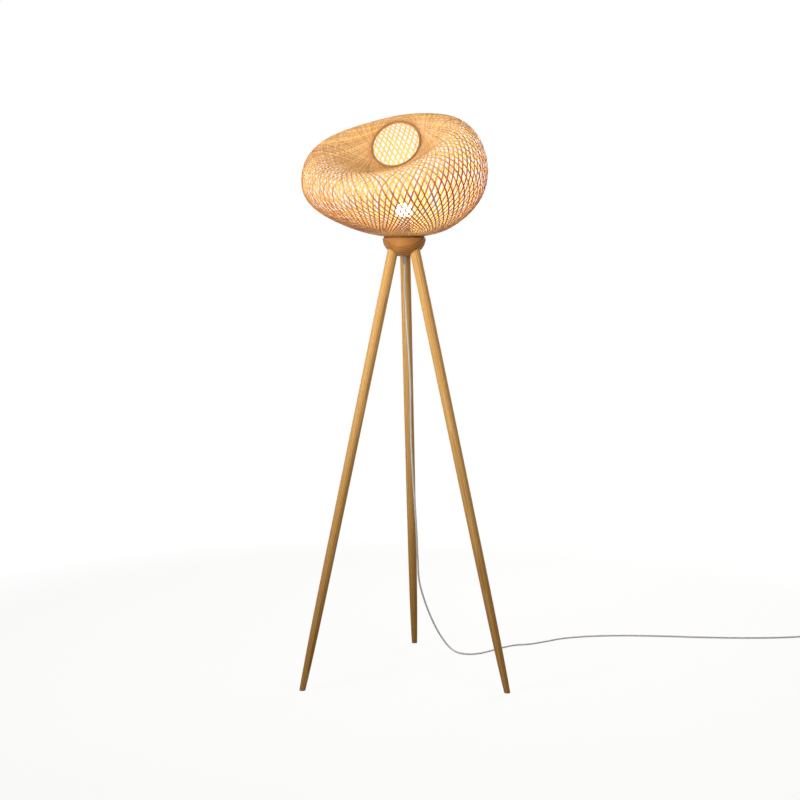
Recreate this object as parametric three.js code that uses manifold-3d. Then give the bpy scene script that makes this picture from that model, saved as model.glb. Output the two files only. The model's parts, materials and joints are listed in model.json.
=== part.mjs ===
// A floor lamp: a woven shade on a turned wooden hub, carried by three tapered legs.
// Millimetres, +Z up. The lamp stands on the plane z = 0, and the hub is turned about the Z axis.
import * as THREE from "three";
import { NURBSCurve } from "three/addons/curves/NURBSCurve.js";
import { mergeVertices } from "three/addons/utils/BufferGeometryUtils.js";
import Module from "manifold-3d";

// Clearances
const fitGap = 0.3; // between two pieces that touch
const tieGap = 0.5; // between the tie and the cord that it holds
const overrun = 3; // how far a cutting shape passes the face that it opens

// Facets around a turned piece
const smallFacets = 16;
const legFacets = 18;
const turnedFacets = 24;
const hubFacets = 36;

// Hub
const hubTopHeight = 1256;
const hubRadius = 61;
const hubDepth = 53;
const hubFlatRadius = 16;
const hubEdgeRound = 2;
const hubBowlSteps = 9;
const nutRecessRadius = 11.5;
const nutRecessDepth = 10;

// Legs
const legTopRadius = 15;
const legSeatDepth = 27; // from the hub's top face down to the middle of a leg's top end
const legSeatCircle = 33.6; // radius of the circle through the middles of the legs' top ends
const legFootCircle = 330; // radius of the circle through the middles of the feet
const legAngles = { rear: 86.3, left: 206.3, right: 326.3 }; // degrees round the hub
const legSteps = 10;
// Share of the leg's length from the foot, share of its top radius
const legProfileShares = [
  [0, 0.56],
  [0.03, 0.64],
  [0.11, 0.77],
  [0.26, 0.87],
  [0.6, 0.94],
  [1, 1],
];

// Leg fastenings
const studRadius = 4;
const studInLeg = 30;
const studInHub = 13;
const insertRadius = 6.2;
const insertLength = 15;

// Threaded tube through the hub, with its washer, nut and lead
const tubeRadius = 5;
const tubeBoreRadius = 3.4;
const tubeStandsUp = 9; // above the floor of the holder's recess
const washerRadius = 9.5;
const washerThickness = 1.2;
const nutAcrossFlats = 14;
const nutThickness = 3.5;
const leadStandsUp = 3; // above the tube's upper end

// Strain relief under the hub
const reliefCollarThickness = 3;
const reliefTopRadius = 6.4;
const reliefTipRadius = 4.3;
const reliefLength = 22;

// Lamp holder
const holderRadius = 20;
const holderWall = 2.2;
const holderRecessDepth = 18;
const holderCapHeight = 19;
const holderFloorThickness = 2.5;
const holderBossRadius = 8.5;
const holderBossHeight = 11;
const holderBodyHeight = 39;
const holderWebHeight = 5; // from the body's lower edge to the underside of its web
const holderWebThickness = 3;
const screwShellRadius = 14.6;
const screwShellWall = 0.7;
const screwShellHeight = 27;
const contactPostRadius = 2;
const contactPostDrop = 1; // below the web
const contactRadius = 4.5;
const contactThickness = 0.8;
const contactRise = 2.2; // from the web's top to the contact's top

// Shade carrier, and the ring that clamps it on the holder
const carrierThickness = 1.5;
const carrierRimWidth = 9;
const carrierSpokeWidth = 9;
const carrierSpokes = 3;
const carrierWindowSteps = 6;
const carrierPastNeck = 0.5;
const clampRingWidth = 8;
const clampRingHeight = 7;
const clampRingLobes = 16;
const clampRingLobeDepth = 1.2;
const clampRingPointsPerLobe = 4;

// Shade
const shadeReach = 262; // half of the shade's width
const shadeRise = 337; // from the neck up to the crest
const shadeWall = 2.4;
const shadeFacing = 253; // degrees: the side to which the low front and the throat look
const shadeRibs = 18; // in each of the two families of ribs that cross
const shadeRibWidth = 10; // measured level
const shadeBandGap = 0.5;
// Where the ribs cross, as shares of the way from the neck to the throat. Outside them the edges are solid.
const shadeRowShares = [0.02, 0.12, 0.22, 0.32, 0.415, 0.507, 0.59, 0.67, 0.75, 0.825, 0.9, 0.98];
// The first and the last row of crossings of each band
const shadeBandRows = {
  foot: [0, 2],
  belly: [2, 4],
  shoulder: [4, 7],
  crown: [7, 9],
  funnel: [9, 11],
};
const neckRadius = 57.5;
const throatRadius = 71.3;
const throatTilt = 64.3; // degrees from level
const throatReachShare = 0.2;
const throatRiseShare = 0.745;
const throatSideShare = -0.02;
const throatLeanShare = 0.016;
// Control rings between neck and throat. Reach and rise of the ring's front point, then of its back point,
// then the ring's half width, its shift to the side, and the lift and the lean of its sides.
const shadeRingShares = [
  [0.39, 0.027, -0.34, 0.023, 0.37, -0.002, -0.011, -0.001],
  [0.72, 0.073, -0.54, 0.054, 0.61, -0.016, 0.016, -0.001],
  [1.22, 0.268, -0.8, 0.378, 0.99, -0.049, -0.031, 0.003],
  [1.21, 0.398, -0.63, 0.912, 1, -0.001, -0.003, -0.042],
  [0.76, 0.521, -0.02, 1.021, 0.76, -0.04, 0.093, 0.084],
  [0.36, 0.524, 0.09, 0.982, 0.37, -0.03, -0.011, 0.033],
];

// Hoops at the two ends of the weave
const neckHoopWidth = 5.5;
const neckHoopHeight = 6;
const throatHoopRadius = 2.2;
const throatHoopGap = 0.9; // between the hoop and the middle of the sheet's slanting rim
const throatHoopSides = 6;
const throatHoopSteps = 36;

// Bulb
const bulbTipRadius = 5;
const bulbTipHeight = 1.6;
const bulbTipPostRadius = 3.6;
const bulbTipPostHeight = 3;
const bulbCapRadius = 13.2;
const bulbCapHeight = 22;
const bulbCapWall = 0.8;
const bulbCapShoulder = 4;
const bulbPlugDepth = 6; // how far the housing sits in the cap
const bulbHousingRadius = 13.6;
const bulbGlobeRadius = 22.5;
const bulbGlobeWall = 1.2;
const bulbGlobeHeight = 60.5; // from the cap's lower edge to the globe's middle
const bulbSeamRadius = 17;
const bulbGlobeSteps = 7;
const bulbFlareSteps = 4;

// Cord: its first free length runs down from the strain relief and along the floor to the foot switch
const cordRadius = 2.8;
const cordFacets = 8;
const cordSteps = 78;
const cordStraight = 16; // the straight part at each end
const cordRoute = [
  [0, 2, 1120],
  [4, 6, 1030],
  [10, 12, 930],
  [14, 20, 830],
  [14, 33, 730],
  [16, 47, 640],
  [20, 62, 555],
  [25, 80, 475],
  [29, 103, 395],
  [32, 133, 310],
  [36, 160, 238],
  [52, 186, 170],
  [75, 207, 105],
  [101, 218, 52],
  [128, 214, 17],
  [151, 200, 5.2],
  [181, 186, 3.6],
  [215, 192, 3.6],
  [254, 221, 3.6],
  [293, 255, 3.6],
  [331, 280, 3.6],
  [376, 290, 3.6],
  [424, 315, 3.6],
  [487, 352, 3.6],
  [570, 374, 3.6],
  [680, 380, 3.6],
  [800, 370, 3.6],
  [920, 353, 3.6],
  [1040, 342, 3.6],
  [1150, 341, 3.6],
  [1205, 344, 4.2],
];

// Foot switch
const switchCentre = [1303, 345];
const switchLength = 76;
const switchWidth = 32;
const switchBaseHeight = 9;
const switchCoverHeight = 11;
const switchWall = 2;
const switchEdgeRound = 2;
const switchFloorClearance = 0.4;
const switchGlandRadius = 3.8;
const switchGlandLength = 9;
const switchGlandHeight = 5.2; // above the switch's underside
const switchRoundSteps = 5;
const buttonRadius = 11;
const buttonProud = 5; // above the cover
const buttonEdgeRound = 2;
const buttonStemRadius = 4;
const buttonFlangeWidth = 1.5;
const buttonFlangeThickness = 1.5;
const buttonTravel = 3;
const buttonStop = 0.6; // room left under the stem when the button is down

// Spare cord in a coil: in on the lower layer, up a layer, and out again on the upper one
const coilCentreX = 1398;
const coilMeanRadius = 31;
const coilTurnsPerLayer = 2;
const coilTurnPitch = 6.3;
const coilLayerPitch = 6.1;
const coilHeight = 4.2; // of the lower layer's middle line
const coilStepsPerTurn = 24;
const coilFacets = 6;
const coilReversalTurns = 0.5;

// Tie round the coil
const tieThickness = 0.8;
const tieWidth = 5;
const tieCorner = 2;
const tieCornerSteps = 3;
const tieAngle = 180; // degrees round the coil, away from the half turn where it climbs

// Plug
const plugCentreX = 1320;
const plugBodyLength = 34;
const plugBodyWidth = 26;
const plugBodyHeight = 13.7;
const plugCornerRound = 6;
const plugEdgeRound = 2;
const plugReliefLength = 22;
const plugReliefRadius = 5.2;
const plugReliefTipRadius = 3.9;
const plugFloorClearance = 0.4;
const plugTailSteps = 6;
const pinRadius = 2;
const pinLength = 19;
const pinSpacing = 18.6;
const pinInBody = 8;

const finishes = {
  bamboo: { color: 0xd9a25e, roughness: 0.6, metalness: 0 },
  wood: { color: 0xb9854a, roughness: 0.45, metalness: 0 },
  steel: { color: 0xb8bbbe, roughness: 0.3, metalness: 1 },
  brass: { color: 0xc9a24b, roughness: 0.3, metalness: 1 },
  white_plastic: { color: 0xe9e6df, roughness: 0.4, metalness: 0 },
  cord_plastic: { color: 0xb9b5aa, roughness: 0.4, metalness: 0 },
  diffuser: { color: 0xfff4d8, roughness: 0.2, metalness: 0 },
};

const quarterTurn = Math.PI / 2;
const fullTurn = 2 * Math.PI;
const { degToRad, lerp } = THREE.MathUtils;
const wasm = await Module();
wasm.setup();

// Meshes and booleans

const materials = Object.fromEntries(
  Object.entries(finishes).map(([name, look]) => [name, new THREE.MeshStandardMaterial(look)]),
);

function piece(name, geometry, finish) {
  const mesh = new THREE.Mesh(geometry, materials[finish]);
  mesh.name = name;
  return mesh;
}

function toSolid(geometry) {
  const bare = geometry.clone();
  bare.deleteAttribute("normal");
  bare.deleteAttribute("uv");
  const merged = mergeVertices(bare);
  const vertProperties = new Float32Array(merged.attributes.position.array);
  const triVerts = new Uint32Array(merged.index.array);
  return new wasm.Manifold(new wasm.Mesh({ numProp: 3, vertProperties, triVerts }));
}

function toGeometry(solid) {
  const mesh = solid.getMesh();
  return new THREE.BufferGeometry()
    .setAttribute("position", new THREE.BufferAttribute(mesh.vertProperties, 3))
    .setIndex(new THREE.BufferAttribute(mesh.triVerts, 1));
}

function cut(body, ...tools) {
  return toGeometry(tools.reduce((rest, tool) => rest.subtract(toSolid(tool)), toSolid(body)));
}

function join(body, ...others) {
  return toGeometry(others.reduce((sum, other) => sum.add(toSolid(other)), toSolid(body)));
}

// Basic forms along +Z

// A turned form from [radius, height] pairs that run up its outside. A ring's pairs close on themselves.
function turned(profile, facets = turnedFacets) {
  const points = profile.map(([radius, height]) => new THREE.Vector2(radius, height));
  return new THREE.LatheGeometry(points, facets).rotateX(quarterTurn);
}

function rod(radius, low, high, facets = smallFacets) {
  return turned([[0, low], [radius, low], [radius, high], [0, high]], facets);
}

function ring(inner, outer, low, high, facets = turnedFacets) {
  return turned([[inner, low], [outer, low], [outer, high], [inner, high], [inner, low]], facets);
}

function slab(shape, low, high, curveSegments = turnedFacets) {
  const settings = { depth: high - low, bevelEnabled: false, curveSegments };
  return new THREE.ExtrudeGeometry(shape, settings).translate(0, 0, low);
}

// A slab with its upper and lower edges rounded over
function softSlab(shape, low, high, round) {
  const settings = {
    depth: high - low - 2 * round,
    bevelThickness: round,
    bevelSize: round,
    bevelOffset: -round,
    bevelSegments: 2,
    curveSegments: switchRoundSteps,
  };
  return new THREE.ExtrudeGeometry(shape, settings).translate(0, 0, low + round);
}

function roundedOutline(length, width, corner) {
  const x = length / 2;
  const y = width / 2;
  const shape = new THREE.Shape();
  shape.absarc(x - corner, y - corner, corner, 0, quarterTurn);
  shape.absarc(corner - x, y - corner, corner, quarterTurn, 2 * quarterTurn);
  shape.absarc(corner - x, corner - y, corner, 2 * quarterTurn, 3 * quarterTurn);
  shape.absarc(x - corner, corner - y, corner, 3 * quarterTurn, fullTurn);
  return shape;
}

function circleHole(radius) {
  return new THREE.Path().absarc(0, 0, radius, 0, fullTurn, true);
}

function polygon(radius, sides) {
  return Array.from({ length: sides }, (_, i) => {
    const angle = (fullTurn * i) / sides;
    return new THREE.Vector2(radius * Math.cos(angle), radius * Math.sin(angle));
  });
}

function radialPoint(radius, angle, height) {
  return new THREE.Vector3(radius * Math.cos(angle), radius * Math.sin(angle), height);
}

// A skin over rings of points. Open rings of ends are closed by fans, or the last ring joins the first.
function skin(rings, looped) {
  const count = rings[0].length;
  const positions = rings.flat().flatMap((point) => point.toArray());
  const index = [];
  const last = looped ? rings.length : rings.length - 1;
  for (let i = 0; i < last; i++) {
    const next = (i + 1) % rings.length;
    for (let j = 0; j < count; j++) {
      const k = (j + 1) % count;
      const corners = [i * count + j, i * count + k, next * count + k, next * count + j];
      index.push(corners[0], corners[1], corners[2], corners[0], corners[2], corners[3]);
    }
  }
  if (!looped) {
    const end = (rings.length - 1) * count;
    for (let j = 1; j < count - 1; j++) {
      index.push(0, j + 1, j);
      index.push(end, end + j, end + j + 1);
    }
  }
  return new THREE.BufferGeometry()
    .setAttribute("position", new THREE.Float32BufferAttribute(positions, 3))
    .setIndex(index);
}

// A tube whose sections stand upright: its path runs level or nearly so
function levelTube(path, radius, sides, looped = false) {
  const up = new THREE.Vector3(0, 0, 1);
  const rings = path.map((centre, i) => {
    const before = looped ? path.at(i - 1) : path[Math.max(i - 1, 0)];
    const after = looped ? path[(i + 1) % path.length] : path[Math.min(i + 1, path.length - 1)];
    const along = after.clone().sub(before).normalize();
    const across = new THREE.Vector3().crossVectors(up, along).normalize();
    const over = new THREE.Vector3().crossVectors(along, across);
    return Array.from({ length: sides }, (_, j) => {
      const angle = (fullTurn * (j + 0.5)) / sides;
      return centre
        .clone()
        .addScaledVector(across, radius * Math.cos(angle))
        .addScaledVector(over, radius * Math.sin(angle));
    });
  });
  return skin(rings, looped);
}

// Heights and places that several pieces share

const hubFlatHeight = hubTopHeight - hubDepth * Math.sqrt(1 - (hubFlatRadius / hubRadius) ** 2);
const nutRecessCeiling = hubFlatHeight + nutRecessDepth;
const recessFloor = hubTopHeight - holderRecessDepth;
const tubeTop = recessFloor + tubeStandsUp;
const reliefTip = hubFlatHeight - reliefLength;
const holderCapBottom = recessFloor + fitGap;
const holderBodyBottom = holderCapBottom + holderCapHeight + fitGap;
const webTop = holderBodyBottom + holderWebHeight + holderWebThickness;
const carrierTop = hubTopHeight + fitGap + carrierThickness;
const neckHeight = carrierTop + fitGap + neckHoopHeight / 2;
const bulbTipBottom = webTop + contactRise + fitGap;

// Hub

function hubBowl() {
  const lowest = Math.acos(hubFlatRadius / hubRadius);
  const highest = Math.asin(hubEdgeRound / hubDepth);
  return Array.from({ length: hubBowlSteps + 1 }, (_, i) => {
    const angle = lerp(lowest, highest, i / hubBowlSteps);
    return [hubRadius * Math.cos(angle), hubTopHeight - hubDepth * Math.sin(angle)];
  });
}

function hub(legFrames) {
  const blank = turned(
    [
      [nutRecessRadius, hubFlatHeight],
      ...hubBowl(),
      [hubRadius - hubEdgeRound, hubTopHeight],
      [holderRadius + fitGap, hubTopHeight],
      [holderRadius + fitGap, recessFloor],
      [tubeRadius + fitGap, recessFloor],
      [tubeRadius + fitGap, nutRecessCeiling],
      [nutRecessRadius, nutRecessCeiling],
      [nutRecessRadius, hubFlatHeight],
    ],
    hubFacets,
  );
  const holes = legFrames.flatMap((frame) => {
    const socket = rod(legTopRadius + fitGap, -2 * legSeatDepth, fitGap, turnedFacets);
    const insertHole = rod(insertRadius + fitGap, -overrun, insertLength + 2 * fitGap);
    return [socket.applyMatrix4(frame.matrix), insertHole.applyMatrix4(frame.matrix)];
  });
  return piece("hub", cut(blank, ...holes), "wood");
}

// Legs: each stands in a frame whose origin is the middle of its top end and whose +Z runs up the leg

const legSeatHeight = hubTopHeight - legSeatDepth;
const legLength = Math.hypot(legFootCircle - legSeatCircle, legSeatHeight);

function legFrame(degrees) {
  const angle = degToRad(degrees);
  const seat = radialPoint(legSeatCircle, angle, legSeatHeight);
  const foot = radialPoint(legFootCircle, angle, 0);
  const frame = new THREE.Group();
  frame.position.copy(seat);
  frame.quaternion.setFromUnitVectors(new THREE.Vector3(0, 0, 1), seat.sub(foot).normalize());
  frame.updateMatrix();
  return frame;
}

function leg(name, frame) {
  const outline = new THREE.SplineCurve(
    legProfileShares.map(
      ([along, wide]) => new THREE.Vector2(wide * legTopRadius, (along - 1) * legLength),
    ),
  );
  const pastFloor = -legLength - legTopRadius;
  const footRadius = legProfileShares[0][1] * legTopRadius;
  const boreFloor = -studInLeg - fitGap;
  const turnedLeg = turned(
    [
      [0, pastFloor],
      [footRadius, pastFloor],
      ...outline.getPoints(legSteps).map((point) => point.toArray()),
      [studRadius + fitGap, 0],
      [studRadius + fitGap, boreFloor],
      [0, boreFloor],
    ],
    legFacets,
  );
  const groundSize = 4 * legTopRadius;
  const ground = new THREE.BoxGeometry(groundSize, groundSize, groundSize).translate(0, 0, -groundSize / 2);
  const foot = new THREE.Vector3(0, 0, -legLength).applyMatrix4(frame.matrix);
  ground.translate(foot.x, foot.y, 0).applyMatrix4(frame.matrix.clone().invert());
  return piece("leg_" + name, cut(turnedLeg, ground), "wood");
}

function legFastenings(name) {
  const insert = ring(studRadius + fitGap, insertRadius, fitGap, insertLength + fitGap, smallFacets);
  const stud = rod(studRadius, -studInLeg, studInHub, smallFacets);
  return [piece("insert_" + name, insert, "brass"), piece("stud_" + name, stud, "steel")];
}

// Threaded tube, washer, nut, lead and strain relief

function tubeParts() {
  const washerTop = nutRecessCeiling - fitGap;
  const nutTop = washerTop - washerThickness - fitGap;
  const nutCorner = nutAcrossFlats / Math.sqrt(3);
  const hexagon = new THREE.Shape(polygon(nutCorner, 6));
  hexagon.holes.push(circleHole(tubeRadius + fitGap));
  const collarTop = hubFlatHeight + reliefCollarThickness;
  const collarRadius = nutRecessRadius - fitGap;
  const boreRadius = cordRadius + fitGap;
  const relief = turned([
    [boreRadius, reliefTip],
    [reliefTipRadius, reliefTip],
    [reliefTopRadius, hubFlatHeight],
    [collarRadius, hubFlatHeight],
    [collarRadius, collarTop],
    [boreRadius, collarTop],
    [boreRadius, reliefTip],
  ]);
  const washer = ring(tubeRadius + fitGap, washerRadius, washerTop - washerThickness, washerTop);
  const tube = ring(tubeBoreRadius, tubeRadius, collarTop + fitGap, tubeTop, smallFacets);
  return [
    piece("threaded_tube", tube, "steel"),
    piece("tube_washer", washer, "steel"),
    piece("tube_nut", slab(hexagon, nutTop - nutThickness, nutTop, smallFacets), "steel"),
    piece("inner_lead", rod(cordRadius, reliefTip + fitGap / 2, tubeTop + leadStandsUp), "cord_plastic"),
    piece("strain_relief", relief, "cord_plastic"),
  ];
}

// Lamp holder

function holderParts() {
  const inner = holderRadius - holderWall;
  const capTop = holderCapBottom + holderCapHeight;
  const capFloor = holderCapBottom + holderFloorThickness;
  const bossTop = holderCapBottom + holderBossHeight;
  const tubeHole = tubeRadius + fitGap;
  const cap = turned([
    [tubeHole, holderCapBottom],
    [holderRadius, holderCapBottom],
    [holderRadius, capTop],
    [inner, capTop],
    [inner, capFloor],
    [holderBossRadius, capFloor],
    [holderBossRadius, bossTop],
    [tubeHole, bossTop],
    [tubeHole, holderCapBottom],
  ]);
  const bodyTop = holderBodyBottom + holderBodyHeight;
  const webBottom = webTop - holderWebThickness;
  const shellSeat = screwShellRadius + fitGap;
  const postHole = contactPostRadius + fitGap;
  const body = turned([
    [inner, holderBodyBottom],
    [holderRadius, holderBodyBottom],
    [holderRadius, bodyTop],
    [shellSeat, bodyTop],
    [shellSeat, webTop],
    [postHole, webTop],
    [postHole, webBottom],
    [inner, webBottom],
    [inner, holderBodyBottom],
  ]);
  const shellBottom = webTop + fitGap;
  const shell = ring(
    screwShellRadius - screwShellWall,
    screwShellRadius,
    shellBottom,
    shellBottom + screwShellHeight,
  );
  const contactTop = webTop + contactRise;
  const contact = turned(
    [
      [0, webBottom - contactPostDrop],
      [contactPostRadius, webBottom - contactPostDrop],
      [contactPostRadius, contactTop - contactThickness],
      [contactRadius, contactTop - contactThickness],
      [contactRadius, contactTop],
      [0, contactTop],
    ],
    smallFacets,
  );
  return [
    piece("holder_cap", cap, "white_plastic"),
    piece("holder_body", body, "white_plastic"),
    piece("screw_shell", shell, "brass"),
    piece("centre_contact", contact, "brass"),
  ];
}

// Shade carrier: two rims and their spokes, stamped from sheet

function carrierWindow(inner, outer, index) {
  const middle = (fullTurn * index) / carrierSpokes;
  const half = fullTurn / carrierSpokes / 2;
  const innerHalf = half - Math.asin(carrierSpokeWidth / 2 / inner);
  const outerHalf = half - Math.asin(carrierSpokeWidth / 2 / outer);
  const window = new THREE.Shape();
  window.absarc(0, 0, outer, middle - outerHalf, middle + outerHalf, false);
  window.absarc(0, 0, inner, middle + innerHalf, middle - innerHalf, true);
  return window;
}

function shadeCarrier() {
  const bore = holderRadius + fitGap;
  const outer = neckRadius + carrierPastNeck;
  const low = hubTopHeight + fitGap;
  const windows = Array.from({ length: carrierSpokes }, (_, i) => {
    const window = carrierWindow(bore + carrierRimWidth, outer - carrierRimWidth, i);
    return slab(window, low - overrun, carrierTop + overrun, carrierWindowSteps);
  });
  return piece("shade_carrier", cut(ring(bore, outer, low, carrierTop, hubFacets), ...windows), "steel");
}

function clampRing() {
  const bore = holderRadius + fitGap;
  const count = clampRingLobes * clampRingPointsPerLobe;
  const outline = Array.from({ length: count }, (_, i) => {
    const angle = (fullTurn * i) / count;
    const wave = (1 - Math.cos(clampRingLobes * angle)) / 2;
    const radius = bore + clampRingWidth - clampRingLobeDepth * wave;
    return new THREE.Vector2(radius * Math.cos(angle), radius * Math.sin(angle));
  });
  const shape = new THREE.Shape(outline);
  shape.holes.push(circleHole(bore));
  const low = carrierTop + fitGap;
  return piece("clamp_ring", slab(shape, low, low + clampRingHeight, turnedFacets), "white_plastic");
}

// Shade: a sheet from the neck out over the belly and the crest and down into the tilted throat

const facing = degToRad(shadeFacing);
const towardFront = new THREE.Vector3(Math.cos(facing), Math.sin(facing), 0);
const towardSide = new THREE.Vector3(-Math.sin(facing), Math.cos(facing), 0);
const upward = new THREE.Vector3(0, 0, 1);

// A ring as its middle, its front arm, its side arm and the lift of both sides
function ringFromShares([frontReach, frontRise, backReach, backRise, half, side, lift, lean]) {
  return {
    reach: ((frontReach + backReach) / 2) * shadeReach,
    rise: ((frontRise + backRise) / 2) * shadeRise,
    frontReach: ((frontReach - backReach) / 2) * shadeReach,
    frontRise: ((frontRise - backRise) / 2) * shadeRise,
    half: half * shadeReach,
    side: side * shadeReach,
    lift: lift * shadeRise,
    lean: lean * shadeRise,
  };
}

function throatRing(radius) {
  const tilt = degToRad(throatTilt);
  return {
    reach: throatReachShare * shadeReach,
    rise: throatRiseShare * shadeRise,
    frontReach: radius * Math.cos(tilt),
    frontRise: -radius * Math.sin(tilt),
    half: radius,
    side: throatSideShare * shadeReach,
    lift: 0,
    lean: throatLeanShare * shadeRise,
  };
}

const neckRing = {
  reach: 0,
  rise: 0,
  frontReach: neckRadius,
  frontRise: 0,
  half: neckRadius,
  side: 0,
  lift: 0,
  lean: 0,
};
const shadeRings = [neckRing, ...shadeRingShares.map(ringFromShares), throatRing(throatRadius)];

function ringPoint(spec, angle) {
  const front = Math.cos(angle);
  const side = Math.sin(angle);
  const height = spec.rise + spec.frontRise * front + spec.lean * side + spec.lift * side * side;
  return new THREE.Vector3()
    .addScaledVector(towardFront, spec.reach + spec.frontReach * front)
    .addScaledVector(towardSide, spec.side + spec.half * side)
    .addScaledVector(upward, neckHeight + height);
}

// One line of the sheet from neck to throat: a cubic B-spline that starts and ends on its end rings
function meridian(angle) {
  const degree = 3;
  const spans = shadeRings.length - degree;
  const inside = Array.from({ length: spans + 1 }, (_, i) => i / spans);
  const knots = [...Array(degree).fill(0), ...inside, ...Array(degree).fill(1)];
  const controls = shadeRings.map((spec) => {
    const point = ringPoint(spec, angle);
    return new THREE.Vector4(point.x, point.y, point.z, 1);
  });
  return new NURBSCurve(degree, knots, controls);
}

const ribPitch = fullTurn / shadeRibs;
const shadeLineLength = meridian(0).getLength();

// How the sheet moves on for a small turn, at one place on it
function alongRing(along, angle) {
  const after = meridian(angle + ribPitch / shadeRibs).getPoint(along);
  return after.sub(meridian(angle - ribPitch / shadeRibs).getPoint(along));
}

// A point at a distance off the sheet's middle
function offSheet([along, angle], distance) {
  const line = meridian(angle);
  const normal = alongRing(along, angle).cross(line.getTangent(along)).normalize();
  return line.getPoint(along).addScaledVector(normal, distance);
}

// The four corners of the patch where two ribs cross, as places on the sheet. Every second row of crossings
// stands half a pitch round. The edge shift moves the patch's side corners along the sheet.
function crossing(row, i, edgeShift) {
  const along = shadeRowShares[row];
  const middle = ribPitch * (row % 2 ? i : i + 1 / 2);
  const reach = alongRing(along, middle).length() / (2 * (ribPitch / shadeRibs));
  const half = shadeRibWidth / 2 / reach;
  const toNext = half / (ribPitch / 2);
  const before = shadeRowShares[row - 1] ?? along;
  const after = shadeRowShares[row + 1] ?? along;
  return {
    left: [along + edgeShift, middle - half],
    right: [along + edgeShift, middle + half],
    low: [lerp(along, before, toNext), middle],
    high: [lerp(along, after, toNext), middle],
  };
}

// Solid edge of the sheet: from its end at the neck or the throat to the outermost row of crossings
function edgeFaces(row, end) {
  const ends = row.map(({ left, right }) => [
    [end, left[1]],
    [end, right[1]],
  ]);
  return row.flatMap(({ left, right }, i) => {
    const j = (i + 1) % row.length;
    const under = [ends[i][0], ends[i][1], right, left];
    const between = [ends[i][1], ends[j][0], row[j].left, right];
    return end === 0 ? [under, between] : [under.reverse(), between.reverse()];
  });
}

// The faces of a band of the lattice: loops of places on the sheet, counter-clockwise from outside
function bandFaces(first, last) {
  const lowest = shadeRowShares[0];
  const halfGap = shadeBandGap / 2 / shadeLineLength;
  const rows = shadeRowShares.slice(first, last + 1).map((along, n) => {
    const row = first + n;
    const cutLow = row === first && along !== lowest ? halfGap : 0;
    const cutHigh = row === last && row !== shadeRowShares.length - 1 ? halfGap : 0;
    return Array.from({ length: shadeRibs }, (_, i) => crossing(row, i, cutLow - cutHigh));
  });
  const faces = rows.flatMap((row, n) =>
    row.flatMap((patch, i) => {
      const { left, right, low, high } = patch;
      if (n === rows.length - 1) return [[left, low, right]];
      const step = (first + n) % 2 ? 0 : 1;
      const toRight = rows[n + 1][(i + step) % shadeRibs];
      const toLeft = rows[n + 1].at((i + step - 1) % shadeRibs);
      return [
        n === 0 ? [left, right, high] : [left, low, right, high],
        [high, right, toRight.low, toRight.left],
        [left, high, toLeft.right, toLeft.low],
      ];
    }),
  );
  if (first === 0) faces.push(...edgeFaces(rows[0], 0));
  if (last === shadeRowShares.length - 1) faces.push(...edgeFaces(rows.at(-1), 1));
  return faces;
}

// A closed wall of even thickness on the sheet: its outer and inner faces, and a side along each open edge
function wallOnSheet(faces) {
  const corners = [...new Set(faces.flat())];
  const number = new Map(corners.map((corner, i) => [corner, i]));
  const positions = [1, -1].flatMap((side) =>
    corners.flatMap((corner) => offSheet(corner, (side * shadeWall) / 2).toArray()),
  );
  const index = [];
  const edges = new Set();
  for (const face of faces) {
    const loop = face.map((corner) => number.get(corner));
    for (let i = 2; i < loop.length; i++) {
      index.push(loop[0], loop[i - 1], loop[i]);
      index.push(...[loop[0], loop[i], loop[i - 1]].map((n) => n + corners.length));
    }
    loop.forEach((from, i) => edges.add(from + ">" + loop[(i + 1) % loop.length]));
  }
  for (const edge of edges) {
    const [from, to] = edge.split(">").map(Number);
    if (edges.has(to + ">" + from)) continue;
    const [innerFrom, innerTo] = [from + corners.length, to + corners.length];
    index.push(to, from, innerFrom, to, innerFrom, innerTo);
  }
  return new THREE.BufferGeometry()
    .setAttribute("position", new THREE.Float32BufferAttribute(positions, 3))
    .setIndex(index);
}

// The shade in bands, a small gap apart. Each is a plain lattice for the fine weave of the real one.
function shadeBands() {
  return Object.entries(shadeBandRows).map(([name, [first, last]]) =>
    piece("shade_" + name, wallOnSheet(bandFaces(first, last)), "bamboo"),
  );
}

function neckHoop() {
  const outer = neckRadius - 2 * fitGap;
  const low = carrierTop + fitGap;
  return piece("neck_hoop", ring(outer - neckHoopWidth, outer, low, low + neckHoopHeight), "bamboo");
}

function throatHoop() {
  const middle = throatRing(throatRadius - throatHoopGap - throatHoopRadius);
  const path = Array.from({ length: throatHoopSteps }, (_, i) =>
    ringPoint(middle, (fullTurn * i) / throatHoopSteps),
  );
  const centre = path.reduce((sum, point) => sum.add(point), new THREE.Vector3()).divideScalar(path.length);
  const axis = path[1].clone().sub(centre).cross(path[0].clone().sub(centre)).normalize();
  const rings = path.map((point) => {
    const outward = point.clone().sub(centre).normalize();
    return Array.from({ length: throatHoopSides }, (_, j) => {
      const angle = (fullTurn * j) / throatHoopSides;
      return point
        .clone()
        .addScaledVector(outward, throatHoopRadius * Math.cos(angle))
        .addScaledVector(axis, throatHoopRadius * Math.sin(angle));
    });
  });
  return piece("throat_hoop", skin(rings, true), "bamboo");
}

// Bulb

function arcPoints(centre, radius, from, to, steps) {
  return Array.from({ length: steps + 1 }, (_, i) => {
    const angle = lerp(from, to, i / steps);
    return [Math.abs(radius * Math.cos(angle)), centre + radius * Math.sin(angle)];
  });
}

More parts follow.
